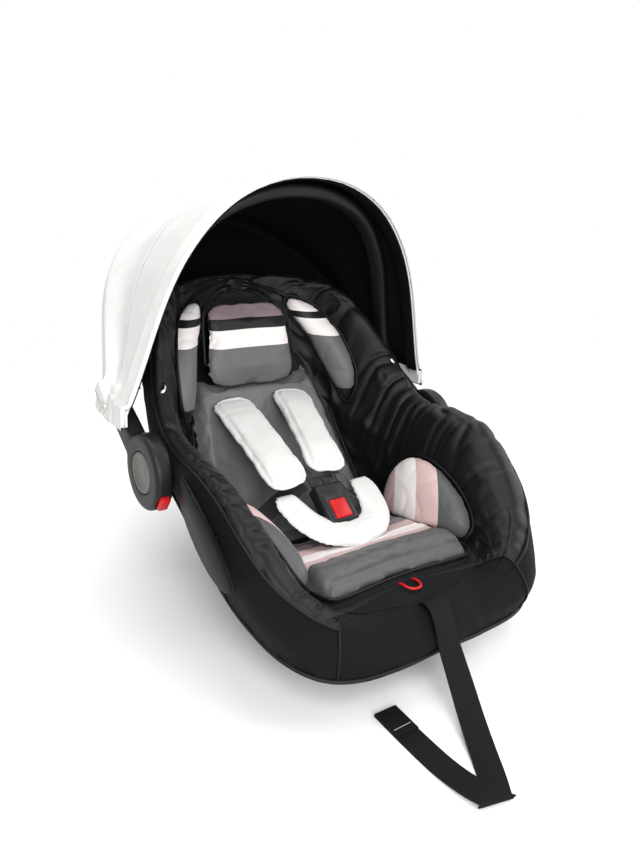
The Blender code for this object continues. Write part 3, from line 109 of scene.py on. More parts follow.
def catmull(points, t):
    """Point of a smooth curve through a list; t counts in list places."""
    i = min(max(int(math.floor(t)), 0), len(points) - 2)
    f = t - i
    p1, p2 = np.array(points[i], float), np.array(points[i + 1], float)
    p0 = np.array(points[i - 1], float) if i > 0 else 2 * p1 - p2
    p3 = np.array(points[i + 2], float) if i + 2 < len(points) else 2 * p2 - p1
    return 0.5 * (2 * p1 + (p2 - p0) * f + (2 * p0 - 5 * p1 + 4 * p2 - p3) * f ** 2
                  + (3 * p1 - p0 - 3 * p2 + p3) * f ** 3)


def smooth_line(points, count):
    """A smooth curve cut in count steps."""
    return [catmull(points, (len(points) - 1) * k / count) for k in range(count + 1)]


# %% Helpers for pieces
def only(obj):
    """Select one object and make it the active one."""
    bpy.ops.object.select_all(action="DESELECT")
    obj.select_set(True)
    bpy.context.view_layer.objects.active = obj
    return obj


def apply_all(obj):
    """Apply every modifier of an object, top to bottom."""
    only(obj)
    for mod in list(obj.modifiers):
        bpy.ops.object.modifier_apply(modifier=mod.name)
    return obj


def new_mesh(name, verts, faces, uvs=None):
    """Object from points and faces; uvs holds one pair per point, in metres."""
    mesh = bpy.data.meshes.new(name)
    mesh.from_pydata([tuple(v) for v in verts], [], [tuple(f) for f in faces])
    if uvs is not None:
        layer = mesh.uv_layers.new(name="UVMap")
        for loop in mesh.loops:
            layer.data[loop.index].uv = uvs[loop.vertex_index]
    obj = bpy.data.objects.new(name, mesh)
    bpy.context.scene.collection.objects.link(obj)
    return obj


def unit(v):
    """The same direction with a length of 1."""
    return v / max(np.linalg.norm(v), 1e-9)


def sheet_of(name, rows, flip=False):
    """Sheet of quads from rows of points, with UVs measured along both directions."""
    grid = np.array(rows, float)
    n, m = grid.shape[:2]
    across = np.zeros((n, m))
    along = np.zeros((n, m))
    across[:, 1:] = np.cumsum(np.linalg.norm(np.diff(grid, axis=1), axis=2), axis=1)
    across -= across[:, [m // 2]]
    along[1:, :] = np.cumsum(np.linalg.norm(np.diff(grid, axis=0), axis=2), axis=0)
    faces = []
    for i in range(n - 1):
        for j in range(m - 1):
            quad = (i * m + j, i * m + j + 1, (i + 1) * m + j + 1, (i + 1) * m + j)
            faces.append(quad[::-1] if flip else quad)
    uvs = [(across[i, j], along[i, j]) for i in range(n) for j in range(m)]
    return new_mesh(name, grid.reshape(-1, 3), faces, uvs)


def cleaned(obj, gap, fill=False):
    """Merge doubles, close open ends if asked, and turn all faces outwards."""
    bm = bmesh.new()
    bm.from_mesh(obj.data)
    bmesh.ops.remove_doubles(bm, verts=bm.verts, dist=gap)
    if fill:
        bmesh.ops.holes_fill(bm, edges=[e for e in bm.edges if e.is_boundary], sides=0)
    bmesh.ops.recalc_face_normals(bm, faces=bm.faces)
    bm.to_mesh(obj.data)
    bm.free()
    return obj


def push_out(obj, reach):
    """Move each point along its normal by reach(point), all from the same start."""
    obj.data.update()
    moves = [v.normal * reach(v) for v in obj.data.vertices]
    for v, move in zip(obj.data.vertices, moves):
        v.co += move
    return obj


def join(objs, name, mat):
    """One object from several, with one material."""
    only(objs[0])
    for obj in objs:
        obj.select_set(True)
    bpy.ops.object.join()
    out = bpy.context.object
    out.name = name
    out.data.materials.clear()
    out.data.materials.append(mat)
    return out


def add_mod(obj, kind, **settings):
    """Add a modifier with its settings."""
    mod = obj.modifiers.new(kind.lower(), kind)
    for key, value in settings.items():
        setattr(mod, key, value)
    return mod


def dress(obj, body, slot, *nodes, mat=None, angle=None):
    """Shade a finished piece, tie it to its body and let it stand for its solids."""
    if mat:
        obj.data.materials.append(mat)
    only(obj)
    if angle:
        bpy.ops.object.shade_smooth_by_angle(angle=math.radians(angle))
    else:
        bpy.ops.object.shade_smooth()
    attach(obj, body)
    if nodes:
        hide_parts(*nodes)
    return obj


# %% The pull strap itself
def ribbon(name, route, turns, width, thick, count, columns=7):
    """Flat strap along a route; its cross lines stay level and turn by the given degrees."""
    line = smooth_line(route, count)
    turn_line = smooth_line([(a, 0) for a in turns], count)
    rows = []
    for k, p in enumerate(line):
        t = unit(line[min(k + 1, count)] - line[max(k - 1, 0)])
        a = math.radians(turn_line[k][0])
        w = np.array([math.cos(a), math.sin(a), 0.0])
        reach = width / np.linalg.norm(np.cross(t, w))
        rows.append([p + w * reach * (c / (columns - 1) - 0.5) for c in range(columns)])
    strap = sheet_of(name, rows)
    add_mod(strap, "SOLIDIFY", thickness=thick, offset=0.0)
    apply_all(strap)
    return strap, line


PULL_TURN = [0, 0, 0, 0, 0, 0, -3, -8, -15, -20, -24, -26, -22, -16, -12, -8, 2, 2, -1, -2]
pull, pull_line = ribbon("pull_webbing", PULL_ROUTE, PULL_TURN, PULL_WIDTH, PULL_THICK, 190)

# %% [markdown]
# Materials come from small parts that repeat: a colour written as a hex value, a node with its
# settings and links, and a surface that ends in one Principled shader. Weave patterns are drawn
# from thread spacings. Threads of 0.3 mm can't show at this size, so they are drawn near 1 mm. The
# moulded parts have the fine grain of a sparked mould, which breaks up their shine.

# %% Colour and node helpers
def rgb(hex_colour):
    """Linear colour from an sRGB hex value."""
    out = []
    for k in (0, 2, 4):
        c = int(hex_colour[k:k + 2], 16) / 255
        out.append(c / 12.92 if c <= 0.04045 else ((c + 0.055) / 1.055) ** 2.4)
    return (*out, 1.0)


def put(mat, kind, links=(), feeds=(), **settings):
    """Add a node: settings name its properties or sockets, links are (own socket, output from
    elsewhere) and feeds are (own output, socket elsewhere)."""
    node = mat.node_tree.nodes.new(kind)
    for key, value in settings.items():
        if hasattr(node, key):
            setattr(node, key, value)
        else:
            node.inputs[key.replace("_", " ")].default_value = value
    for socket, output in links:
        mat.node_tree.links.new(output, node.inputs[socket])
    for output, socket in feeds:
        mat.node_tree.links.new(node.outputs[output], socket)
    return node


def surface(name, colour, roughness, **sockets):
    """Material with a Principled shader; sockets hold the even values of its surface."""
    mat = bpy.data.materials.new(name)
    mat.use_nodes = True
    shader = mat.node_tree.nodes["Principled BSDF"]
    shader.inputs["Base Color"].default_value = rgb(colour)
    shader.inputs["Roughness"].default_value = roughness
    for key, value in sockets.items():
        shader.inputs[key.replace("_", " ")].default_value = value
    return mat, shader


def coords(mat, scale, kind="Object", turn=(0, 0, 0)):
    """Object or UV coordinates through a Mapping node; scale is in repeats per metre."""
    source = put(mat, "ShaderNodeTexCoord")
    mapping = put(mat, "ShaderNodeMapping", [("Vector", source.outputs[kind])],
                  Scale=(scale, scale, scale), Rotation=turn)
    return mapping.outputs["Vector"]


def uneven_gloss(mat, shader, scale, detail, low, high):
    """Let the roughness wander between two values."""
    cloud = put(mat, "ShaderNodeTexNoise", [("Vector", coords(mat, scale))], Scale=1.0,
                Detail=detail)
    put(mat, "ShaderNodeMapRange", [("Value", cloud.outputs["Fac"])],
        [("Result", shader.inputs["Roughness"])], To_Min=low, To_Max=high)


# %% Moulded plastics
def moulded(name, colour, roughness, grain_mm=0.9, strength=0.25, shine=0.26):
    """Moulded plastic with a spark-eroded grain, a little uneven in its gloss."""
    mat, shader = surface(name, colour, roughness, Specular_IOR_Level=shine)
    uneven_gloss(mat, shader, 22, 3.0, roughness - 0.06, roughness + 0.08)
    grain = put(mat, "ShaderNodeTexNoise", [("Vector", coords(mat, 1000 / grain_mm))], Scale=1.0,
                Detail=2.0)
    put(mat, "ShaderNodeBump", [("Height", grain.outputs["Fac"])],
        [("Normal", shader.inputs["Normal"])], Strength=strength, Distance=0.0002)
    return mat


black_pp = moulded("moulded_polypropylene_black", "111214", 0.44)
gloss_pp = moulded("moulded_polypropylene_gloss", "050506", 0.36, strength=0.05, shine=0.10)
grey_pp = moulded("moulded_abs_grey", "5E5A56", 0.42, strength=0.12)
white_pp = moulded("moulded_polypropylene_white", "E2E1DE", 0.42, strength=0.10)
red_pp = moulded("moulded_acetal_red", "B8191D", 0.28, strength=0.05)
buckle_pp = moulded("moulded_nylon_black", "1B1B1D", 0.34, grain_mm=1.2, strength=0.15)


# %% Metals
def plated(name, colour, roughness):
    """Pressed and plated steel with a fine scatter in its shine."""
    mat, shader = surface(name, colour, roughness, Metallic=1.0)
    uneven_gloss(mat, shader, 400, 2.0, roughness - 0.05, roughness + 0.10)
    return mat


zinc = plated("zinc_plated_steel", "B9BABB", 0.30)
nickel = plated("nickel_plated_brass", "C9C6BE", 0.20)


# %% [markdown]
# Most cloth here is woven: a smooth satin polyester on the cover, a dull twill on the outer band,
# webbing on the belts. So each height pattern is the sum of two waves that cross, one for the warp
# and one for the weft. The threads follow a sheet's own UV map. A stuffed pad has lost its map to
# the remesh, so there they follow the Object coordinates. Satin shines in soft broad lights, while
# twill, webbing, the knit of the pads and the close weave of the canopy stay dull.

# %% Woven cloth
def woven(name, colour, roughness, pitch_mm, strength, kind="UV", sheen=0.05, twill=False,
          mottle=0.05, shine=0.28):
    """Woven cloth; pitch_mm is the drawn thread spacing, shine the strength of its reflection."""
    mat, shader = surface(name, colour, roughness, Sheen_Weight=sheen, Sheen_Roughness=0.45,
                          Specular_IOR_Level=shine)
    place = coords(mat, 1000 / pitch_mm, kind, (0, 0, math.radians(40 if twill else 0)))
    warp = put(mat, "ShaderNodeTexWave", [("Vector", place)], wave_type="BANDS",
               bands_direction="X", Scale=0.5)
    weft = put(mat, "ShaderNodeTexWave", [("Vector", place)], wave_type="BANDS",
               bands_direction="Y", Scale=0.16 if twill else 0.5)
    cross = put(mat, "ShaderNodeMath", [(0, warp.outputs["Fac"]), (1, weft.outputs["Fac"])],
                operation="ADD")
    shade = put(mat, "ShaderNodeTexNoise", [("Vector", coords(mat, 35))], Scale=1.0, Detail=4.0)
    ramp = put(mat, "ShaderNodeValToRGB", [("Fac", shade.outputs["Fac"])],
               [("Color", shader.inputs["Base Color"])])
    for stop, start, gain in zip(ramp.color_ramp.elements, (0.3, 0.7), (-2, 2)):
        stop.color = (*[min(1, c * (1 + mottle * gain)) for c in rgb(colour)[:3]], 1)
        stop.position = start
    put(mat, "ShaderNodeBump", [("Height", cross.outputs["Value"])],
        [("Normal", shader.inputs["Normal"])], Strength=strength, Distance=0.0004)
    return mat


satin_black = woven("satin_polyester_black", "0B0C0E", 0.38, 0.9, 0.18, sheen=0.02, shine=0.19)
twill_black = woven("brushed_twill_black", "0D0F11", 0.80, 1.3, 0.4, sheen=0.02, twill=True,
                    shine=0.10)
lining_black = woven("canopy_lining_black", "070708", 0.90, 1.1, 0.2, sheen=0.0, shine=0.12)
canopy_cloth = woven("canopy_polyester_offwhite", "E5E4E2", 0.72, 1.0, 0.22, sheen=0.10,
                     mottle=0.02)
webbing = woven("polyester_webbing_black", "0B0D0F", 0.60, 1.5, 0.5, sheen=0.01, shine=0.10)
print("materials:", len(bpy.data.materials))

# %% [markdown]
# The padded seat has one flowing surface: a floor, two walls and a rolled rim that runs from the foot
# end to the head end. A table of seventeen rows gives the rim crest, the lower hem and the edge of
# the floor. A smooth curve through the rows, and another across each row, give a point for any place
# (t, j): t runs from foot to head, j from the middle line (0) over the crest (7) to the hem (10).

# %% Rows of the seat
SEAT_HALF, RIM_R, RIM_LEAST = 0.192, 0.018, 0.008
DISH = 0.10
FOLD_Y, FOLD_Z = 0.076, 0.267
ROWS = [
    (0.00, -0.275, 0.1040, 0.00, -0.297, 0.058, 0.00, -0.262, -0.238),
    (0.30, -0.274, 0.1045, 0.33, -0.298, 0.058, 0.26, -0.260, -0.235),
    (0.55, -0.269, 0.110, 0.61, -0.291, 0.059, 0.45, -0.252, -0.230),
    (0.74, -0.252, 0.128, 0.80, -0.272, 0.063, 0.58, -0.235, -0.224),
    (0.88, -0.222, 0.158, 0.92, -0.235, 0.072, 0.645, -0.203, -0.190),
    (0.95, -0.182, 0.196, 0.97, -0.185, 0.085, 0.665, -0.163, -0.150),
    (0.98, -0.137, 0.228, 0.99, -0.139, 0.102, 0.675, -0.119, -0.103),
    (0.995, -0.090, 0.243, 1.01, -0.095, 0.135, 0.69, -0.074, -0.062),
    (1.00, -0.042, 0.247, 1.03, -0.045, 0.172, 0.70, -0.029, -0.020),
    (1.00, -0.003, 0.261, 1.04, 0.003, 0.200, 0.70, 0.014, 0.022),
    (0.98, 0.030, 0.288, 1.015, 0.043, 0.235, 0.69, 0.048, 0.055),
    (0.915, 0.062, 0.325, 0.95, 0.088, 0.280, 0.655, 0.084, 0.090),
    (0.82, 0.098, 0.366, 0.85, 0.130, 0.320, 0.61, 0.116, 0.118),
    (0.70, 0.132, 0.390, 0.72, 0.168, 0.352, 0.54, 0.142, 0.141),
    (0.52, 0.160, 0.399, 0.54, 0.198, 0.368, 0.40, 0.161, 0.158),
    (0.27, 0.180, 0.403, 0.28, 0.217, 0.376, 0.21, 0.176, 0.170),
    (0.00, 0.187, 0.404, 0.00, 0.223, 0.378, 0.00, 0.181, 0.175),
]
MIDDLE = [
    (-0.320, 0.080), (-0.285, 0.101), (-0.255, 0.1085), (-0.222, 0.110), (-0.170, 0.101),
    (-0.124, 0.088), (-0.070, 0.075), (-0.025, 0.071), (0.015, 0.088), (0.045, 0.120),
    (0.080, 0.168), (0.110, 0.215), (0.139, 0.260), (0.158, 0.305), (0.170, 0.345),
    (0.182, 0.385), (0.200, 0.410),
]
DENSE = np.array(smooth_line(MIDDLE, 160))


# %% Points of the padded surface
def mirror(row):
    """The same row on the other side of the middle plane; each third value is a width."""
    return [value * sign for value, sign in zip(row, (-1, 1, 1) * 3)]


TABLE = [mirror(ROWS[1]), *ROWS, mirror(ROWS[-2])]


def row_at(t):
    return catmull(TABLE, t + 1)


def middle_z(y):
    """Height of the padded surface on the middle line."""
    return float(np.interp(y, DENSE[:, 0], DENSE[:, 1]))


def section(t):
    """Eleven points of one half section, from the middle line over the crest to the hem."""
    r = row_at(t)
    crest = np.array([r[0] * SEAT_HALF, r[1], r[2]])
    hem = np.array([r[3] * SEAT_HALF, r[4], r[5]])
    high = max(crest[2] - middle_z(r[7]), 0.0)
    floor = np.array([r[6] * SEAT_HALF, r[7], middle_z(r[7]) + DISH * high])
    spine = np.array([0.0, r[8], middle_z(r[8])])
    near, far = row_at(max(t - 0.25, -0.9)), row_at(min(t + 0.25, 16.9))
    along = np.array([(far[0] - near[0]) * SEAT_HALF, far[1] - near[1]])
    out = np.array([along[1], -along[0], 0.0]) / np.linalg.norm(along)
    near_hub = math.exp(-((t - 9.8) / 2.0) ** 2)
    radius = RIM_LEAST + (RIM_R - RIM_LEAST) * min(1.0, high / 0.08)
    radius *= 1 - 0.38 * near_hub
    points = [spine]
    for share in (0.36, 0.66, 0.86):
        p = spine + (floor - spine) * share
        p[2] = middle_z(p[1]) + DISH * high * share ** 4
        points.append(p)
    points.append(floor)
    for share, drop in ((0.72, 0.60), (0.36, 0.13)):
        p = crest + (floor - crest) * share
        p[2] = crest[2] - drop * (crest[2] - floor[2])
        points.append(p)
    points.append(crest)
    points.append(crest + out * 0.74 * radius - np.array([0, 0, 0.32 * radius + 0.0015]))
    points.append(crest + (hem - crest) * 0.52 + out * radius)
    points.append(hem)
    return points


def seat_row(t):
    """Full section from hem to hem: index j + 10."""
    half = section(t)
    left = [np.array([-p[0], p[1], p[2]]) for p in half[:0:-1]]
    return left + half


def seat_point(t, j):
    return catmull(seat_row(t), j + 10)


def seat_normal(t, j):
    """Outward normal of the padded surface."""
    d = 0.05
    du = seat_point(t, j + d) - seat_point(t, j - d)
    dv = seat_point(min(t + d, 16), j) - seat_point(max(t - d, 0), j)
    return unit(np.cross(du, dv))


def above(t, j, lift):
    """Point at a height over the padded surface."""
    return seat_point(t, j) + seat_normal(t, j) * lift


print("floor of the seat at", seat_point(6, 0).round(3), "normal", seat_normal(6, 0).round(2))


# %% [markdown]
# The cover is cut from a satin cloth over foam and gathered on the tight rim, so it puckers in short
# creases that run across the roll. The band below its piping is a plain twill held by elastic.
# Both are sheets of the same flowing surface, pushed out along their normals by smooth noise.

# %% Cover and band
COVER_THICK, SLACK = 0.0018, 0.023


def smooth_step(low, high, value):
    """Ease from 0 at low to 1 at high."""
    f = min(max((value - low) / (high - low), 0.0), 1.0)
    return f * f * (3 - 2 * f)


def slack_side(t, j):
    """The cover bags out over the right front of the rim, where the photo shows it loose."""
    if j <= 4:
        return 0.0
    along = smooth_step(1.0, 3.2, t) * (1 - smooth_step(5.6, 8.6, t))
    return SLACK * along * smooth_step(4.6, 8.4, j) * (1 - 0.55 * smooth_step(9.0, 10.0, j))


def wrinkle(t, j, p):
    """Height of the creases at a place on the cover, in metres."""
    a = abs(j)
    roll = math.exp(-((a - 6.6) / 1.5) ** 2)
    wall = math.exp(-((a - 5.0) / 1.2) ** 2)
    floor = math.exp(-((a - 2.0) / 2.2) ** 2)
    head = min(max((t - 8.0) / 3.0, 0.0), 1.0)
    run = t if t < 9 else 9 + (t - 9) * 0.55
    crease = noise.noise(Vector((run * 2.4 + 3 + j * 0.35 * head, j * 0.22, 0.4)))
    crease = max(0.0, 1 - 3.0 * abs(crease)) ** 1.5
    fine = noise.noise(Vector((run * 6.0, j * 0.55, 5.2)))
    slack = noise.noise(Vector(p) * 14)
    drag = noise.noise(Vector((t * 0.9 + j * 0.6, j * 1.3, 2.2)))
    drag = max(0.0, 1 - 4.0 * abs(drag)) ** 2
    return (roll * (0.0034 + 0.0022 * slack - 0.0050 * crease + 0.0009 * fine)
            + wall * (0.0040 * slack + 0.0040 * drag * (0.6 + 0.7 * head) + 0.0006 * fine)
            + floor * 0.0010 * slack + slack_side(t, j))


def band_wave(t, j, _):
    """The outer band lies smooth, and only ripples where the elastic draws it in."""
    low = max(0.0, abs(j) - 8.6)
    ripple = noise.noise(Vector((t * 4.2, 0.5 * j, 9.0)))
    broad = noise.noise(Vector((t * 1.1, j * 0.5, 4.0)))
    drag = noise.noise(Vector((t * 3.1, j * 1.4, 1.0)))
    return 0.0018 * broad + 0.0007 * drag + 0.0016 * low * ripple + slack_side(t, j)


# %% Sheets of the cover
def seat_sheet(name, t_range, j_range, steps, lift):
    """Sheet over part of the seat surface; its height above the surface comes from lift."""
    ts, js = (np.linspace(*span, n + 1) for span, n in zip((t_range, j_range), steps))
    rows = []
    for t in ts:
        row = seat_row(t)
        rows.append([catmull(row, j + 10) for j in js])
    obj = sheet_of(name, rows)
    marks = {"t_mark": np.repeat(ts, len(js)), "j_mark": np.tile(js, len(ts))}
    for key, values in marks.items():
        layer = obj.data.attributes.new(key, "FLOAT", "POINT")
        layer.data.foreach_set("value", values.astype(np.float32))
    bm = bmesh.new()
    bm.from_mesh(obj.data)
    bmesh.ops.remove_doubles(bm, verts=bm.verts, dist=1e-5)
    t_layer, j_layer = (bm.verts.layers.float[key] for key in marks)
    bm.normal_update()
    moves = [v.normal * lift(v[t_layer], v[j_layer], v.co) for v in bm.verts]
    for v, move in zip(bm.verts, moves):
        v.co += move
    bm.to_mesh(obj.data)
    bm.free()
    for key in marks:
        obj.data.attributes.remove(obj.data.attributes[key])
    add_mod(obj, "SOLIDIFY", thickness=COVER_THICK, offset=-1.0)
    return apply_all(obj)


FOOT_T = 2.5  # station of the seam across the foot end
T_STEPS, J_STEPS = ((240, 200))
cover = seat_sheet("cover_satin", (FOOT_T, 16), (-8, 8), (T_STEPS, J_STEPS), wrinkle)
cover.data.materials.append(satin_black)
band_parts = [seat_sheet("foot", (0, FOOT_T), (-4, 4), (30, 60), wrinkle)]
for t_end, j0, j1, steps in ((16, 8, 10, (T_STEPS, 24)), (16, -10, -8, (T_STEPS, 24)),
                             (FOOT_T, 4, 8, (40, 36)), (FOOT_T, -8, -4, (40, 36))):
    band_parts.append(seat_sheet("band", (0, t_end), (j0, j1), steps, band_wave))
band = join(band_parts, "cover_band_twill", twill_black)
print("cover:", len(cover.data.polygons), "faces; band:", len(band.data.polygons))


# %% [markdown]
# A corded seam joins cover and band. Piping is a strip of cloth folded over a cord and caught in the
# seam, so it shows as a thin even tube. The same maker of tubes gives the piping of the pads below.

# %% Piping
def tube(name, points, radius, closed=False, sides=8):
    """Round tube along points, as a mesh with UVs along it."""
    pts = [np.array(p, float) for p in points]
    count = len(pts)
    rows = []
    side = None
    for k in range(count):
        if closed:
            t = pts[(k + 1) % count] - pts[k - 1]
        else:
            t = pts[min(k + 1, count - 1)] - pts[max(k - 1, 0)]
        t = unit(t)
        if side is None:
            side = np.cross(t, (0.31, 0.2, 0.93))
        side = unit(side - t * np.dot(side, t))
        other = np.cross(t, side)
        rows.append([pts[k] + radius * (math.cos(a) * side + math.sin(a) * other)
                     for a in np.linspace(0, 2 * math.pi, sides + 1)])
    if closed:
        rows.append(rows[0])
    return cleaned(sheet_of(name, rows), radius * 0.01, fill=not closed)


# %% Seams of the cover
def skirted(side, t_from, j, lift):
    """Line along the rim on one side, on top of the slack of the cover."""
    return [above(t, side * j, lift + slack_side(t, side * j))
            for t in np.linspace(t_from, 15.95, 200)]


seam_loop = skirted(1, FOOT_T, 8, 0.0016) + skirted(-1, FOOT_T, 8, 0.0016)[::-1]
seam_tubes = [tube("seam_cord", seam_loop, 0.0017)]
hem_loop = skirted(1, 0.05, 9.93, 0.0002) + skirted(-1, 0.05, 9.93, 0.0002)[::-1]
seam_tubes.append(tube("hem_elastic", hem_loop, 0.0026, closed=True))
for side in (1, -1):
    foot_seam = [above(FOOT_T, side * j, 0.0010 + slack_side(FOOT_T, side * j))
                 for j in np.linspace(4, 9.9, 60)]
    seam_tubes.append(tube("foot_cord", foot_seam, 0.0011))
piping = join(seam_tubes, "cover_piping", satin_black)
print("piping faces:", len(piping.data.polygons))
for obj, node in ((cover, "seat_cover"), (band, "cover_band")):
    dress(obj, "seat", node, node)
dress(piping, "seat", "cover_band")


# %% [markdown]
# The insert is a set of stuffed pads: seat, back and head, with ears at the hips and wings at the
# head. Seat and back start from copies of their solids and the others from domed forms laid on the
# seat, all a little small. A short cloth run with air pressure inside swells them and leaves the
# skin taut, as stuffing does. The remesh before it would erase seams, so sewn channels come after.

# %% Copies and skins
def copy_of(node, name):
    """Merged copy of a solid, free to be changed."""
    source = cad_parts[node]
    obj = bpy.data.objects.new(name, source.data.copy())
    bpy.context.scene.collection.objects.link(obj)
    obj.data.materials.clear()
    bm = bmesh.new()
    bm.from_mesh(obj.data)
    bmesh.ops.remove_doubles(bm, verts=bm.verts, dist=2e-5)
    bmesh.ops.dissolve_limit(bm, angle_limit=math.radians(0.5), verts=bm.verts, edges=bm.edges)
    bm.to_mesh(obj.data)
    bm.free()
    return obj


def skin(obj, voxel, shrink=0.0, rounds=3):
    """Even quads over a solid, eased and drawn in by shrink."""
    add_mod(obj, "REMESH", mode="VOXEL", voxel_size=voxel)
    add_mod(obj, "SMOOTH", factor=0.5, iterations=rounds)
    if shrink:
        add_mod(obj, "DISPLACE", strength=-shrink, mid_level=0.0)
    return apply_all(obj)


# %% Stuffing
def stuff(obj, pressure, cap, frames=18):
    """Swell a skin with air pressure in a short cloth run; no point moves further than cap."""
    rest = np.array([v.co for v in obj.data.vertices])
    only(obj)
    mod = add_mod(obj, "CLOTH")
    taut = {"quality": 5, "mass": 0.25, "tension_stiffness": 12, "compression_stiffness": 12,
            "shear_stiffness": 4, "bending_stiffness": 0.4, "use_pressure": True,
            "uniform_pressure_force": pressure}
    for key, value in taut.items():
        setattr(mod.settings, key, value)
    mod.settings.effector_weights.gravity = 0
    mod.point_cache.frame_start = 1
    mod.point_cache.frame_end = frames
    scene = bpy.context.scene
    for n in range(1, frames + 1):
        scene.frame_set(n)
    bpy.ops.object.modifier_apply(modifier=mod.name)
    scene.frame_set(1)
    moved = np.array([v.co for v in obj.data.vertices])
    step = moved - rest
    size = np.linalg.norm(step, axis=1)
    scale = np.minimum(1.0, cap / np.maximum(size, 1e-9))
    for v, p in zip(obj.data.vertices, rest + step * scale[:, None]):
        v.co = p
    return obj


def finer(obj):
    """One more level of subdivision."""
    add_mod(obj, "SUBSURF", levels=1, render_levels=1)
    return apply_all(obj)


# %% Sewn channels and folds
def near_tree(points):
    """Search tree that finds the nearest of many points."""
    tree = KDTree(len(points))
    for k, p in enumerate(points):
        tree.insert(Vector(p), k)
    tree.balance()
    return tree


def press(obj, points, depth, width):
    """Sew a channel: push the skin in along a dense line of points."""
    tree = near_tree(points)

    def depth_at(v):
        d = tree.find(v.co)[2]
        return -depth * math.exp(-(d / width) ** 2) if d < 3 * width else 0.0

    return push_out(obj, depth_at)


def crumple(obj, depth, size, seed):
    """Soft folds of a stuffed skin."""
    def fold_at(v):
        a = noise.noise(v.co * size + Vector((seed, 0, 0)))
        b = noise.noise(v.co * size * 2.7 + Vector((0, seed, 0)))
        return depth * (0.5 * b - max(0.0, 1 - 3.5 * abs(a)) ** 2)

    return push_out(obj, fold_at)


PLACES = [(t, j) for t in np.linspace(2.5, 9, 105) for j in np.linspace(-6, 6, 49)]
PLACE_TREE = near_tree([seat_point(t, j) for t, j in PLACES])


def mark_places(obj):
    """Store each point's height, station and run from the hips, for the stripes."""
    marks = {key: obj.data.attributes.new(key, "FLOAT", "POINT")
             for key in ("seat_t", "height", "run")}
    for v in obj.data.vertices:
        found = PLACE_TREE.find_n(v.co, 8)
        shares = [1 / (d + 1e-4) ** 2 for _, _, d in found]
        station = sum(PLACES[k][0] * w for (_, k, _), w in zip(found, shares)) / sum(shares)
        marks["seat_t"].data[v.index].value = station
        marks["height"].data[v.index].value = v.co.z
        marks["run"].data[v.index].value = 0.795 * abs(v.co.x) - 0.606 * v.co.y
    return obj


# %% Cloth of the insert
def striped(name, attribute, edges, ground, roughness=0.45):
    """Satin polyester with woven stripes; edges lists (start, colour) along a stored place, and a colour
    there can be the painted-shade grey.
    """
    mat = woven(name, ground, roughness, 1.0, 0.15, kind="Object", sheen=0.06)
    shader = mat.node_tree.nodes["Principled BSDF"]
    place = put(mat, "ShaderNodeAttribute", attribute_name=attribute)
    low, high = edges[0][0], edges[-1][0] * 1.1
    span = put(mat, "ShaderNodeMapRange", [("Value", place.outputs["Fac"])], From_Min=low,
               From_Max=high)
    ramp = put(mat, "ShaderNodeValToRGB", [("Fac", span.outputs["Result"])],
               [("Color", shader.inputs["Base Color"])])
    ramp.color_ramp.interpolation = "CONSTANT"
    stops = ramp.color_ramp.elements
    for k, (start, colour) in enumerate(edges):
        stop = stops[k] if k < 2 else stops.new(1.0)
        stop.position = (start - low) / (high - low)
        stop.color = rgb(colour)
    return mat


GREY, PINK, PALE, MAUVE, DARK = "5F6060", "C9AEAC", "E9E3E1", "85757A", "101113"
# The second grey is the same insert cloth painted darker: painted shade on the seat pad and the hip ears,
# which face up into the light.
PAINTED_SHADE_GREY = "4C4D4D"
insert_grey = woven("insert_satin_grey", GREY, 0.40, 0.9, 0.15, kind="Object", sheen=0.06,
                    shine=0.34)
head_stripe = striped("insert_stripe_head", "height", [
    (0.0, GREY), (0.3150, PALE), (0.3385, DARK), (0.3525, MAUVE), (0.3760, DARK)], GREY)
wing_stripe = striped("insert_stripe_wing", "height", [
    (0.0, DARK), (0.2480, GREY), (0.3230, PALE), (0.3460, DARK), (0.3560, PALE)], GREY)
# The outer end of each hip ear and the front of the seat pad get the painted-shade grey; the other bands are
# woven stripes.
ear_stripe_and_shade = striped("insert_stripe_and_painted_shade_ear", "run", [
    (0.0, MAUVE), (0.106, PINK), (0.137, PALE), (0.162, PINK), (0.188, PAINTED_SHADE_GREY)], GREY)
seat_stripe_and_shade = striped("insert_stripe_and_painted_shade_seat", "seat_t", [
    (0.0, PAINTED_SHADE_GREY), (4.60, PINK), (4.90, PALE), (5.35, PINK), (5.80, MAUVE), (6.20, GREY)], GREY)
pad_white = woven("pad_knit_white", "D8D7D5", 0.70, 1.2, 0.25, kind="Object", sheen=0.1,
                  mottle=0.02)


# %% Forms of the pads
CHANNEL_LIFT, KNEE_ROLL = 0.019, 0.007


def lattice_line(t0, j0, t1, j1, count=80, lift=CHANNEL_LIFT):
    """Dense points over the seat between two places."""
    shares = [k / count for k in range(count + 1)]
    return [above(t0 + (t1 - t0) * f, j0 + (j1 - j0) * f, lift) for f in shares]


def squircle(k, around, power):
    """Point k of a closed line between a circle and a square, from -1 to 1."""
    w = 2 * math.pi * k / around
    return [math.copysign(abs(c) ** (2 / power), c) for c in (math.cos(w), math.sin(w))]


def form(name, place, thick, power=4.0, rings=14, around=64):
    """Closed domed form; place(a, b) gives a point and a normal for a and b from -1 to 1."""
    top, low = [], []
    for r in range(1, rings + 1):
        f = r / rings
        rise = thick * (1 - f ** 3.2) ** 0.5
        for k in range(around):
            a, b = squircle(k, around, power)
            p, n = place(a * f, b * f)
            top.append(p + n * rise)
            low.append(p - n * rise * 0.12)
    p, n = place(0, 0)
    verts = [p + n * thick, p - n * thick * 0.12] + top + low
    faces = []
    for side, first in ((1, 2), (-1, 2 + len(top))):
        centre = 0 if side > 0 else 1
        for k in range(around):
            m = (k + 1) % around
            faces.append((centre, first + k, first + m)[::side])
            for r in range(rings - 1):
                i = first + r * around
                faces.append((i + k, i + around + k, i + around + m, i + m)[::side])
    return cleaned(new_mesh(name, verts, faces), 1e-5)


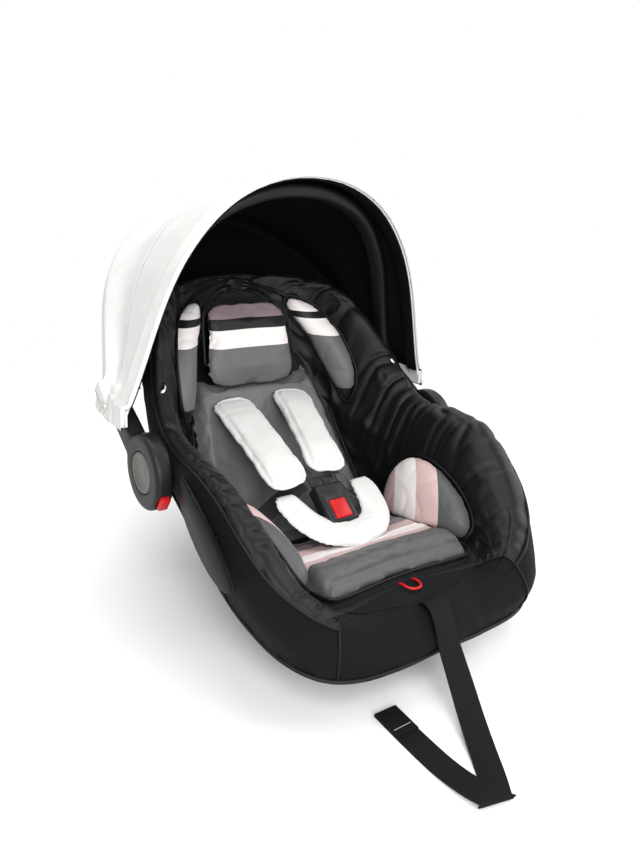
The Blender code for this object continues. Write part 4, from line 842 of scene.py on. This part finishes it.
def raise_front(obj):
    """The front of the seat pad is stuffed fuller, as a roll under the knees."""
    for v in obj.data.vertices:
        k = PLACE_TREE.find(v.co)[1]
        t, j = PLACES[k]
        f = math.sin(math.pi * smooth_step(2.9, 4.9, t)) * (1 - (abs(j) / 5.2) ** 4)
        top = smooth_step(0.004, 0.014, (v.co - Vector(seat_point(t, j))).length)
        v.co.z += KNEE_ROLL * f * top


# %% Stuffed pads
def finish_pad(obj, node, mat, stuffing, seed, channels=()):
    """Stuff a form, sew its channels and let it stand for a solid."""
    voxel, pressure, cap = stuffing
    skin(obj, voxel, 0.0015)
    if node == "seat_pad":
        raise_front(obj)
    stuff(obj, pressure, cap)
    finer(obj)
    for line, depth, width in channels:
        press(obj, line, depth, width)
    crumple(obj, 0.0006 * (2.2 if node == "seat_pad" else 1.4), 22, seed)
    mark_places(obj)
    dress(obj, "seat", node, node, mat=mat)
    print(node, len(obj.data.polygons), "faces")


def on_lattice(t0, t1, j0, j1, lift):
    """Place function over a patch of the seat."""
    def place(a, b):
        t, j = (t0 + t1) / 2 + a * (t1 - t0) / 2, (j0 + j1) / 2 + b * (j1 - j0) / 2
        n = seat_normal(t, j)
        return seat_point(t, j) + n * lift, n
    return place


def ear_place(s):
    """Place function of a hip ear; s is the side."""
    return on_lattice(4.0, 7.9, s * 3.9, s * 5.5, 0.003)


def wing_place(s):
    """Place function of a head wing."""
    return on_lattice(10.7, 14.3, s * 4.7, s * 5.65, 0.003)


def head_place(a, b):
    """The head cushion stands almost flat before the round end of the tub."""
    low, high = np.array([0, 0.1045, 0.2570]), np.array([0, 0.1435, 0.3780])
    p = low + (high - low) * (b + 1) / 2
    n = unit(np.cross(np.array([1.0, 0, 0]), high - low))
    p = p + np.array([a * (0.072 - 0.005 * b) - 0.011, 0, 0]) - n * 0.010 * (1 - a * a)
    return p, n


# %% The pads of the insert
HEAD_POWER, EAR_POWER, WING_POWER = 5.0, 3.2, 3.6
QUILT, QUILT_WIDE = 0.0042, 0.0045
back_places = [(8.0, s * 1.75, 12.4, s * 1.45) for s in (1, -1)]
back_places += [(t, -1.6, t, 1.6) for t in (9.4, 10.9)]
back_places += [(13.0, s * 0.7, 12.1, s * 2.3) for s in (1, -1)]
back_lines = [(lattice_line(*ends), QUILT, QUILT_WIDE) for ends in back_places]
seat_lines = [(lattice_line(4.0, s * 2.4, 7.2, s * 2.4), QUILT * 0.8, 0.005) for s in (1, -1)]
seat_lines += [(lattice_line(3.55, -3.0, 3.55, 3.0), QUILT * 0.9, QUILT_WIDE)]
# voxel size, air pressure and cap of a large and of a small cushion
LARGE, SMALL = (0.005, 3.5, 0.007), (0.004, 3.0, 0.005)
finish_pad(copy_of("back_pad", "back_pad_stuffed"), "back_pad", insert_grey, LARGE, 3, back_lines)
finish_pad(copy_of("seat_pad", "seat_pad_stuffed"), "seat_pad", seat_stripe_and_shade, LARGE, 7, seat_lines)
finish_pad(form("head_pad_stuffed", head_place, 0.016, HEAD_POWER), "head_pad", head_stripe, SMALL,
           11)
for tag, s in (("l", -1), ("r", 1)):
    ear = form("hip_ear_%s_stuffed" % tag, ear_place(s), 0.029, EAR_POWER)
    finish_pad(ear, "hip_ear_" + tag, ear_stripe_and_shade, SMALL, 15 + s)
    wing = form("head_wing_%s_stuffed" % tag, wing_place(s), 0.025, WING_POWER)
    finish_pad(wing, "head_wing_" + tag, wing_stripe, SMALL, 19 + s)

# %% [markdown]
# Black piping runs round each pad of the insert. Its line is the outline of the pad in seat
# places, lifted to the middle of the pad's edge, or the outer line of the form that it started as.

# %% Piping of the insert
def pad_outline(corners, lift, count=40):
    """Closed line through corner places (t, j)."""
    out = []
    for start, end in zip(corners, corners[1:] + corners[:1]):
        out += lattice_line(*start, *end, count, lift)[:-1]
    return out


def eased(points, rounds):
    """Round the corners of a closed line."""
    pts = np.array(points)
    for _ in range(rounds):
        pts = 0.5 * pts + 0.25 * (np.roll(pts, 1, axis=0) + np.roll(pts, -1, axis=0))
    return pts


def round_form(place, lift, power, around=120):
    """Closed line round the edge of a domed form."""
    out = []
    for k in range(around):
        a, b = squircle(k, around, power)
        p, n = place(a * 1.005, b * 1.005)
        out.append(p + n * lift)
    return out


seat_corners = [(3.05, -3.95), (3.05, 3.95), (7.45, 3.95), (7.45, -3.95)]
back_corners = [(12.9, -4.08), (7.55, -4.08), (7.55, 4.08), (12.9, 4.08)]
seat_edge = eased(pad_outline(seat_corners, 0.0085), 30)
back_edge = eased(pad_outline(back_corners, 0.0098), 30)[:-50]
head_edge = round_form(head_place, 0.002, HEAD_POWER)
edge_cords = [tube("edge_cord", seat_edge, 0.0017, True),
              tube("edge_cord", back_edge[10:], 0.0017),
              tube("edge_cord", head_edge[-2:] + head_edge[:63], 0.0017)]
for s in (1, -1):
    for place, power in ((ear_place(s), EAR_POWER), (wing_place(s), WING_POWER)):
        edge_cords.append(tube("edge_cord", round_form(place, 0.003, power), 0.0017, True))
insert_piping = join(edge_cords, "insert_piping", satin_black)
dress(insert_piping, "seat", "seat_pad")
print("piping of the insert:", len(edge_cords), "cords")


# %% [markdown]
# The harness: 25 mm belts run from slots in the back to the buckle, under two white pads with a
# sewn border. The buckle is a moulded body with a red button. A horseshoe pad lies in front of it.
# The pads are softened and swollen like the insert. The border is a pressed line that is dropped
# onto the skin from outside, and its stitches are short bars of thread set along the same line.

# %% Belts
def polish(node, mat, body="seat", angle=38, bevel=0.0, voxel=0.0, rounds=2):
    """Finished copy of a rigid solid: merged, with softened edges."""
    obj = copy_of(node, node + "_finish")
    if voxel:
        skin(obj, voxel, 0.0, rounds)
    if bevel:
        add_mod(obj, "BEVEL", width=bevel, segments=2, limit_method="ANGLE",
                angle_limit=math.radians(35))
        apply_all(obj)
    dress(obj, body, node, node, mat=mat, angle=None if voxel else angle)


belt_cloth = woven("harness_webbing_black", "141416", 0.6, 1.4, 0.5, kind="Object", sheen=0.25)
for node in ("shoulder_belt_l", "shoulder_belt_r", "hip_belt_l", "hip_belt_r", "crotch_strap",
             "rear_webbing"):
    polish(node, belt_cloth, angle=50)
    print(node, "finished")


# %% Places on a pad
def pad_axes(obj):
    """Centre and the long, wide and thick directions of a flat pad."""
    co = np.array([v.co for v in obj.data.vertices])
    centre = co.mean(axis=0)
    axes = np.linalg.svd(co - centre, full_matrices=False)[2]
    if axes[2][2] < 0:
        axes[2] = -axes[2]
    return centre, axes


def on_skin(obj, points, direction, lift):
    """Drop points onto a skin from outside, against a direction."""
    bm = bmesh.new()
    bm.from_mesh(obj.data)
    tree = BVHTree.FromBMesh(bm)
    bm.free()
    out = []
    for p in points:
        hit = tree.ray_cast(Vector(p + direction * 0.05), Vector(-direction))
        if hit[0] is not None:
            out.append(np.array(hit[0]) + direction * lift)
    return out


def rounded_loop(half_l, half_w, radius, count=12):
    """Rounded rectangle as pairs."""
    out = []
    for cx, cy, start in ((half_l - radius, half_w - radius, 0),
                          (-half_l + radius, half_w - radius, 90),
                          (-half_l + radius, -half_w + radius, 180),
                          (half_l - radius, -half_w + radius, 270)):
        for k in range(count + 1):
            a = math.radians(start + 90 * k / count)
            out.append((cx + radius * math.cos(a), cy + radius * math.sin(a)))
    return out


def resample(points, step):
    """Points at an even spacing along a closed line."""
    pts = np.array(list(points) + [points[0]])
    run = np.concatenate([[0], np.cumsum(np.linalg.norm(np.diff(pts, axis=0), axis=1))])
    places = np.linspace(0, run[-1], max(8, int(run[-1] / step)), endpoint=False)
    return [np.array([np.interp(s, run, pts[:, a]) for a in range(3)]) for s in places]


# %% Stitches and shoulder pads
def stitches(name, points, length, radius):
    """Row of thread stitches: one short bar per point of a line."""
    verts, faces = [], []
    count = len(points)
    for k in range(count):
        t = unit(points[(k + 1) % count] - points[k - 1])
        a = unit(np.cross(t, (0.1, 0.3, 0.95)))
        b = np.cross(t, a)
        base = len(verts)
        for end, r in ((-1, 0.4), (-0.6, 1.0), (0.6, 1.0), (1, 0.4)):
            for s in range(5):
                w = 2 * math.pi * s / 5
                verts.append(points[k] + t * end * length / 2
                             + radius * r * (a * math.cos(w) + b * math.sin(w)))
        for ring in range(3):
            for s in range(5):
                m = (s + 1) % 5
                i = base + ring * 5
                faces.append((i + s, i + m, i + 5 + m, i + 5 + s))
        faces.append(tuple(base + s for s in range(4, -1, -1)))
        faces.append(tuple(base + 15 + s for s in range(5)))
    return new_mesh(name, verts, faces)


thread, _ = surface("sewing_thread_pale", "CFCCC8", 0.6, Sheen_Weight=0.2)
BORDER = 0.0065
PAD_FIT = {"l": ((-0.004, -0.006, -0.004), (1.26, 1.26, 1.0), -0.019),
           "r": ((-0.011, 0.0, 0.0), (1.20, 1.16, 1.0), -0.003)}
for tag in ("l", "r"):
    node = "shoulder_pad_" + tag
    obj = skin(copy_of(node, node + "_stuffed"), 0.0035, 0.001)
    centre, axes = pad_axes(obj)
    shift, growth, lean = PAD_FIT[tag]
    for v in obj.data.vertices:
        d = np.array(v.co) - centre
        grown = sum(axes[k] * np.dot(d, axes[k]) * growth[k] for k in range(3))
        down = 0.5 - np.dot(d, axes[0]) * (1 if axes[0][2] > 0 else -1) / 0.15
        v.co = centre + np.array(shift) + grown + np.array([lean * down, 0.0, 0.0])
    stuff(obj, 3.0, 0.004)
    finer(obj)
    centre, axes = pad_axes(obj)
    span = [np.ptp((np.array([v.co for v in obj.data.vertices]) - centre) @ ax) for ax in axes]
    ring = [centre + axes[0] * u + axes[1] * v for u, v in
            rounded_loop(span[0] / 2 - BORDER, span[1] / 2 - BORDER, 0.012)]
    press(obj, on_skin(obj, resample(ring, 0.0015), axes[2], 0.0), 0.0034, 0.0024)
    crumple(obj, 0.0004, 40, 31)
    sewn = on_skin(obj, resample(ring, 0.0042), axes[2], 0.0001)
    dress(obj, "seat", node, node, mat=pad_white)
    dress(stitches(node + "_stitches", sewn, 0.0029, 0.00042), "seat", node, mat=thread)
    print(node, len(sewn), "stitches round its border")

# %% Horseshoe pad and buckle
HORSESHOE = [(-0.064, -0.054, 0.164), (-0.060, -0.080, 0.150), (-0.044, -0.108, 0.136),
             (-0.014, -0.1290, 0.1265), (0.020, -0.1300, 0.1262), (0.050, -0.112, 0.134),
             (0.062, -0.078, 0.151), (0.062, -0.052, 0.164)]


def horseshoe_place(a, b):
    """The pad bends round the buckle and faces up and forward."""
    last = len(HORSESHOE) - 1
    t = (a + 1) / 2 * last
    p = catmull(HORSESHOE, min(t, last - 0.001))
    d = unit(catmull(HORSESHOE, min(t + 0.1, last - 0.01)) - catmull(HORSESHOE, max(t - 0.1, 0)))
    n = np.array([0.0, -0.50, 0.87])
    n = unit(n - d * np.dot(n, d))
    return p + np.cross(n, d) * b * 0.0225, n


horseshoe = form("crotch_pad_stuffed", horseshoe_place, 0.0075, 5.0, around=128)
skin(horseshoe, 0.0022, 0.0003, 6)
stuff(horseshoe, 2.5, 0.003)
finer(horseshoe)
crumple(horseshoe, 0.0004, 24, 37)
dress(horseshoe, "seat", "crotch_pad", "crotch_pad", mat=pad_white)
polish("buckle_body", buckle_pp, bevel=0.0006)
polish("buckle_button", red_pp, "buckle_release", bevel=0.0004)
for tag in ("l", "r"):
    polish("tongue_" + tag, buckle_pp, bevel=0.0002)
polish("crotch_anchor", zinc)
polish("harness_yoke", zinc)
print("horseshoe pad:", len(horseshoe.data.polygons), "faces")

# %% [markdown]
# The pull strap is tied to the seat, and its sewn end is a double fold about 18 mm long, held by a row of
# pale stitches.

# %% Pull strap
hem_line = [np.array(p) + np.array([0.0, 0.0, PULL_THICK + 0.0001]) for p in pull_line[-9:]]
hem_fold, _ = ribbon("pull_hem", hem_line, [-2] * 9, PULL_WIDTH - 0.0006, PULL_THICK, 16)
dress(hem_fold, "seat", "pull_strap", mat=webbing, angle=50)
row_at_hem = [hem_line[2] + np.array([(k / 11 - 0.5) * (PULL_WIDTH - 0.004), 0.0, 0.0010])
              for k in range(12)]
hem_sewing = stitches("pull_hem_stitches", row_at_hem[1:-1], 0.0019, 0.00035)
dress(hem_sewing, "seat", "pull_strap", mat=thread)
dress(pull, "seat", "pull_strap", "pull_strap", mat=webbing, angle=50)
print("strap end: fold and", len(row_at_hem) - 2, "stitches")

# %% [markdown]
# The canopy is cloth sewn over two bows that turn about one axis. A white outer cloth is laid back
# to back with a black lining, so the sheet has two faces. The roof is cut in a front and a rear
# panel, which meet at a seam halfway. When the canopy folds, each panel follows its own bow near it
# and stays with the handle at the seam, and the skirt below goes along with the rear bow.

# %% Bows of the canopy
DRUM_GAP, DRUM_THICK, TAB_GAP, TAB_THICK = 0.020, 0.022, 0.0006, 0.0028
TAB_OUT = SEAT_HALF + DRUM_GAP + DRUM_THICK + TAB_GAP + TAB_THICK
BAND_W, OUT_G = 0.018, 0.0024
CLOTH_SIDE = TAB_OUT + 0.0032
REAR_ANGLE = math.radians(41.0)
HOOP = [(0.0, 0.2825), (0.040, 0.2790), (0.075, 0.2685), (0.105, 0.2530), (0.130, 0.2330),
        (0.152, 0.2080), (0.171, 0.1790), (0.187, 0.1450), (0.2005, 0.1070), (0.213, 0.0670),
        (0.224, 0.0330), (0.2310, 0.0145), (0.2360, 0.0)]


def hoop(share, grow):
    """Half hoop: share 0 at the top to 1 at the foot; width and height over the fold axis."""
    table = [(-HOOP[1][0], HOOP[1][1])] + HOOP
    t = share * (len(HOOP) - 1)
    p = catmull(table, t + 1)
    d = unit(catmull(table, min(t + 1.05, len(table) - 1.0)) - catmull(table, max(t + 0.95, 0.0)))
    p = p + np.array([-d[1], d[0]]) * grow
    return (p[0] if share > 0 else 0.0), p[1]


def front_point(u, grow, dy):
    """Point of the front bow, u from -1 at the left foot over the top to 1."""
    w, h = hoop(abs(u), grow)
    return np.array([math.copysign(w, u), 0.034 - 0.085 * h + dy, FOLD_Z + h])


def rear_point(u, grow, ahead):
    """Point of the rear bow, tilted back about the fold axis."""
    w, h = hoop(abs(u), grow + 0.0030)
    h = max(h, 0.0) * 1.11
    near = min(1.0, smooth_step(0, 1, 1.0 - h / 0.045) * 1.6)
    w += (TAB_OUT + 0.0016 + grow - w) * near
    y = FOLD_Y + h * math.cos(REAR_ANGLE) - ahead * math.sin(REAR_ANGLE)
    z = FOLD_Z + h * math.sin(REAR_ANGLE) + ahead * math.cos(REAR_ANGLE)
    return np.array([math.copysign(w, u), y, z])


# %% Lines of its cloth
HEM_TURN, CLOTH_THICK = 0.72, 0.0022


def hem_point(u):
    """Lower edge of the skirt, round the back of the tub and out to the fold rivet."""
    a = abs(u)
    if a < HEM_TURN:
        t = 16 - a / HEM_TURN * 4.9
        half = section(t)
        out = half[10][:2] - half[7][:2]
        out *= 0.012 / np.linalg.norm(out)
        p = half[10] + np.array([*out, -0.008])
    else:
        ctrl = [np.abs(hem_point(HEM_TURN - 0.0001)), np.array([0.2170, 0.1200, 0.2700]),
                np.array([0.2350, 0.1180, 0.2600]), np.array([0.2422, 0.0970, 0.2550])]
        p = catmull(ctrl, 3 * (a - HEM_TURN) / (1 - HEM_TURN))
    return np.array([math.copysign(p[0], u), p[1], p[2]])


def roof_spots(u):
    """Six points from the front edge of the roof back to its rear edge."""
    a = front_point(u, OUT_G, -BAND_W / 2 - 0.003)
    b = front_point(u, OUT_G, BAND_W / 2 + 0.002)
    c = rear_point(u, OUT_G - 0.0005, 0.008)
    d = rear_point(u, OUT_G - 0.0005, -0.0075)
    f = smooth_step(0.955, 1.0, abs(u))
    side = math.copysign(CLOTH_SIDE, u)
    for q in (a, b, c, d):
        if abs(q[0]) > TAB_OUT - 0.004:
            q[0] = side
    ends = [np.array([side, y, FOLD_Z + z]) for y, z in
            ((0.022, -0.0135), (0.042, -0.0140), (0.074, -0.0140), (0.091, -0.0110))]
    a, b, c, d = (p * (1 - f) + q * f for p, q in zip((a, b, c, d), ends))
    spots = [a, b, b + (c - b) * 0.33, b + (c - b) * 0.67, c, d]
    spots[2] = spots[2] + np.array([0, 0, 0.004 * (1 - abs(u))])
    spots[3] = spots[3] + np.array([0, 0, 0.001 * (1 - abs(u))])
    return spots


SAG, REAR_SLACK = 0.006, 0.005
ROOM_MIDDLE = Vector((0, 0.07, 0.28))


def cloth_rows(u_count, f0, f1, f_count):
    """Rows of the roof between two places along it, 0 at the front edge and 5 at the rear."""
    us = np.linspace(-1, 1, u_count + 1)
    spots = [roof_spots(u) for u in us]
    rows = []
    for f in np.linspace(f0, f1, f_count + 1):
        row = []
        for u, s in zip(us, spots):
            i = min(int(f), 4)
            p = s[i] + (s[i + 1] - s[i]) * (f - i)
            between = max(0.0, math.sin(math.pi * (f - 1) / 3)) if 1 < f < 4 else 0.0
            slack = math.sin(math.pi * (f - 2.5) / 1.5) ** 1.4 if 2.5 < f < 4 else 0.0
            drop = (SAG * between + REAR_SLACK * slack) * (1 - abs(u) ** 6)
            wave = (0.0022 * noise.noise(Vector((u * 3.4, f * 0.9, 2.0)))
                    + 0.0014 * noise.noise(Vector((u * 9.0, f * 0.5, 6.0))))
            inward = np.array((ROOM_MIDDLE - Vector(p)).normalized())
            row.append(p + inward * (drop + between * wave))
        rows.append(row)
    return rows


# %% Cloth with two faces
def two_faced(name, rows):
    """Canopy cloth with a white outer face and a black lining, from rows of its inner face."""
    grid = np.array(rows)
    mid = grid.shape[1] // 2
    corner = grid[0, mid]
    n = np.cross(grid[1, mid] - corner, grid[0, mid + 1] - corner)
    away = corner - np.array([0.0, 0.05, 0.30])
    obj = sheet_of(name, rows, flip=np.dot(n, away) > 0)
    obj.data.materials.append(canopy_cloth)
    obj.data.materials.append(lining_black)
    add_mod(obj, "SOLIDIFY", thickness=CLOTH_THICK, offset=1.0, material_offset=1,
            material_offset_rim=1)
    return apply_all(obj)


# %% Roof panels and skirt
U_STEPS, SKIRT_STEPS = (200), 28
front_rows = cloth_rows(U_STEPS, 0.0, 2.5, 40)
rear_rows = cloth_rows(U_STEPS, 2.5, 5.0, 40)
roof_front = two_faced("canopy_roof_front", front_rows)
roof_rear = two_faced("canopy_roof_rear", rear_rows)
top_front = front_point(0, 0, 0)
top_rear = rear_point(0, 0, 0)
top_mid = (top_front + top_rear) / 2
skirt_rows = []
for part in range(SKIRT_STEPS + 1):
    f = part / SKIRT_STEPS
    row = []
    for u in np.linspace(-1, 1, U_STEPS + 1):
        top = roof_spots(u)[5] + np.array([0, 0.0006 + 0.0022 * (abs(u) > 0.985), -0.0007])
        p = top + (hem_point(u) - top) * f
        belly = math.sin(math.pi * f)
        swell = 0.010 * belly * (1 - abs(u) ** 4)
        wave = noise.noise(Vector((u * 5.0, f * 1.2, 8.0))) * 0.004 * belly
        row.append(p + np.array([0, swell + wave, -swell * 0.2]))
    skirt_rows.append(row)
skirt = two_faced("canopy_skirt_cloth", skirt_rows)
fold_from = np.array([0.0, 0.145, top_mid[2]])
over_bow = np.array([0.0, -math.sin(REAR_ANGLE), math.cos(REAR_ANGLE)])
cloths = [(roof_front, front_rows, "canopy_roof", "canopy_front", fold_from, top_front),
          (roof_rear, rear_rows, "canopy_roof", "canopy_rear", top_rear + over_bow * 0.062,
           top_rear + over_bow * 0.008),
          (skirt, skirt_rows, "canopy_skirt", "canopy_rear", None, None)]
for obj, rows, node, body, start, end in cloths:
    only(obj)
    bpy.ops.object.shade_smooth()
    if start is None:
        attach(obj, body)
    else:
        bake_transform(obj, "handle", body, tuple(start), tuple(end))
    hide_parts(node)

# %% [markdown]
# A stitched edge runs along the mouth of the canopy: a folded hem about 21 mm deep round a cord,
# with one row of thread, and a black facing that hides the front bow from inside. The bows, the
# handle and the hub pieces are moulded, so they are copies of their solids with softened edges.

# %% Canopy trim
edge_line = np.array([roof_spots(u)[0] for u in np.linspace(-0.985, 0.985, 161)])
edge_cord = tube("canopy_edge_cord", edge_line + np.array([0, 0.0004, 0.0]), 0.0030)
dress(edge_cord, "canopy_front", "canopy_roof", mat=canopy_cloth)
facing_rows = []
for f in np.linspace(0, 1, 7):
    facing_rows.append([front_point(u, -0.0032 - 0.0008 * math.sin(math.pi * f),
                                    -BAND_W / 2 - 0.0005 + (BAND_W + 0.004) * f)
                        for u in np.linspace(-0.93, 0.93, 161)])
facing = sheet_of("canopy_facing", facing_rows)
add_mod(facing, "SOLIDIFY", thickness=0.0008, offset=0.0)
apply_all(facing)
dress(facing, "canopy_front", "canopy_roof", mat=lining_black)
sew_row = []
for u in np.linspace(-0.97, 0.97, 230):
    spots = roof_spots(u)
    p = spots[0] + (spots[1] - spots[0]) * 0.93
    sew_row.append(p + unit(p - np.array([0.0, p[1], 0.30])) * 0.0024)
sew = stitches("canopy_edge_stitches", sew_row, 0.0032, 0.0004)
dress(sew, "canopy_front", "canopy_roof", mat=thread)
print("canopy hem:", len(sew_row), "stitches")

# %% Bows, handle and hubs
polish("canopy_front_bow", white_pp, "canopy_front", angle=30)
polish("canopy_rear_bow", black_pp, "canopy_rear", angle=30)
polish("carry_handle", black_pp, "handle", voxel=0.0022, rounds=4)
for tag in ("l", "r"):
    polish("canopy_rivet_" + tag, nickel, "handle", angle=30)
    polish("hub_button_" + tag, grey_pp, "hub_release_" + tag, angle=30)
    polish("hub_pin_" + tag, zinc, angle=30)
    polish("stroller_release_" + tag, red_pp, "stroller_release_" + tag, bevel=0.0006)
    polish("belt_guide_" + tag, gloss_pp, angle=30)
    polish("cover_stud_" + tag, nickel, angle=30)

# %% Tub, base and adjuster
polish("shell", black_pp, angle=50)
polish("rocker_base", black_pp, angle=40)
for n in range(1, 5):
    polish("base_screw_%d" % n, zinc)
polish("adjuster_housing", black_pp, bevel=0.0004)
polish("adjuster_lever", red_pp, "adjuster", angle=60)

# %% [markdown]
# The floor and the room are white. The room is pure white where the camera sees it, straight, in a
# reflection or through something clear, and a softer grey where it lights the seat, so black cloth
# keeps its depth. The floor fades out well behind the seat, so no horizon shows.

# %% Floor, room and lamps
bpy.ops.object.select_all(action="DESELECT")
bpy.ops.mesh.primitive_plane_add(size=5, location=(0, 0, -0.0004))
floor = bpy.context.object
floor.name = "studio_floor"
floor_mat, floor_shader = surface("studio_floor_white", "FCFCFC", 0.9, Specular_IOR_Level=0.1)
floor_place = put(floor_mat, "ShaderNodeTexCoord")
floor_reach = put(floor_mat, "ShaderNodeVectorMath", [("Vector", floor_place.outputs["Object"])],
                  operation="LENGTH")
put(floor_mat, "ShaderNodeMapRange", [("Value", floor_reach.outputs["Value"])],
    [("Result", floor_shader.inputs["Alpha"])], interpolation_type="SMOOTHSTEP",
    From_Min=0.55, From_Max=1.25, To_Min=1.0, To_Max=0.0)
floor.data.materials.append(floor_mat)
SEAT_MIDDLE = Vector((0, -0.05, 0.22))
for name, place, size, power in (("key_lamp", (-1.3, -1.7, 1.9), 1.3, 40),
                                 ("front_lamp", (-0.5, -2.0, 0.75), 0.9, 24),
                                 ("fill_lamp", (1.9, -0.9, 1.3), 1.6, 26),
                                 ("top_lamp", (0.2, 0.5, 2.4), 1.6, 33)):
    bpy.ops.object.select_all(action="DESELECT")
    bpy.ops.object.light_add(type="AREA", location=place)
    lamp = bpy.context.object
    lamp.name = name
    lamp.data.shape = "SQUARE"
    lamp.data.size = size
    lamp.data.energy = power
    lamp.rotation_euler = (SEAT_MIDDLE - Vector(place)).to_track_quat("-Z", "Y").to_euler()
world = bpy.data.worlds.new("white_room")
bpy.context.scene.world = world
world.use_nodes = True
sky = world.node_tree.nodes["Background"]
sky.inputs["Color"].default_value = rgb("DADADA")
sky.inputs["Strength"].default_value = 0.60
plain = put(world, "ShaderNodeBackground", Color=(1, 1, 1, 1), Strength=1.0)
path = put(world, "ShaderNodeLightPath")
seen = path.outputs["Is Camera Ray"]
for ray in ("Is Glossy Ray", "Is Transmission Ray"):
    either = put(world, "ShaderNodeMath", [(0, seen), (1, path.outputs[ray])],
                 operation="MAXIMUM")
    seen = either.outputs["Value"]
put(world, "ShaderNodeMixShader",
    [("Fac", seen), (1, sky.outputs["Background"]), (2, plain.outputs["Background"])],
    [("Shader", world.node_tree.nodes["World Output"].inputs["Surface"])])
bpy.context.scene.view_settings.view_transform = "Standard"
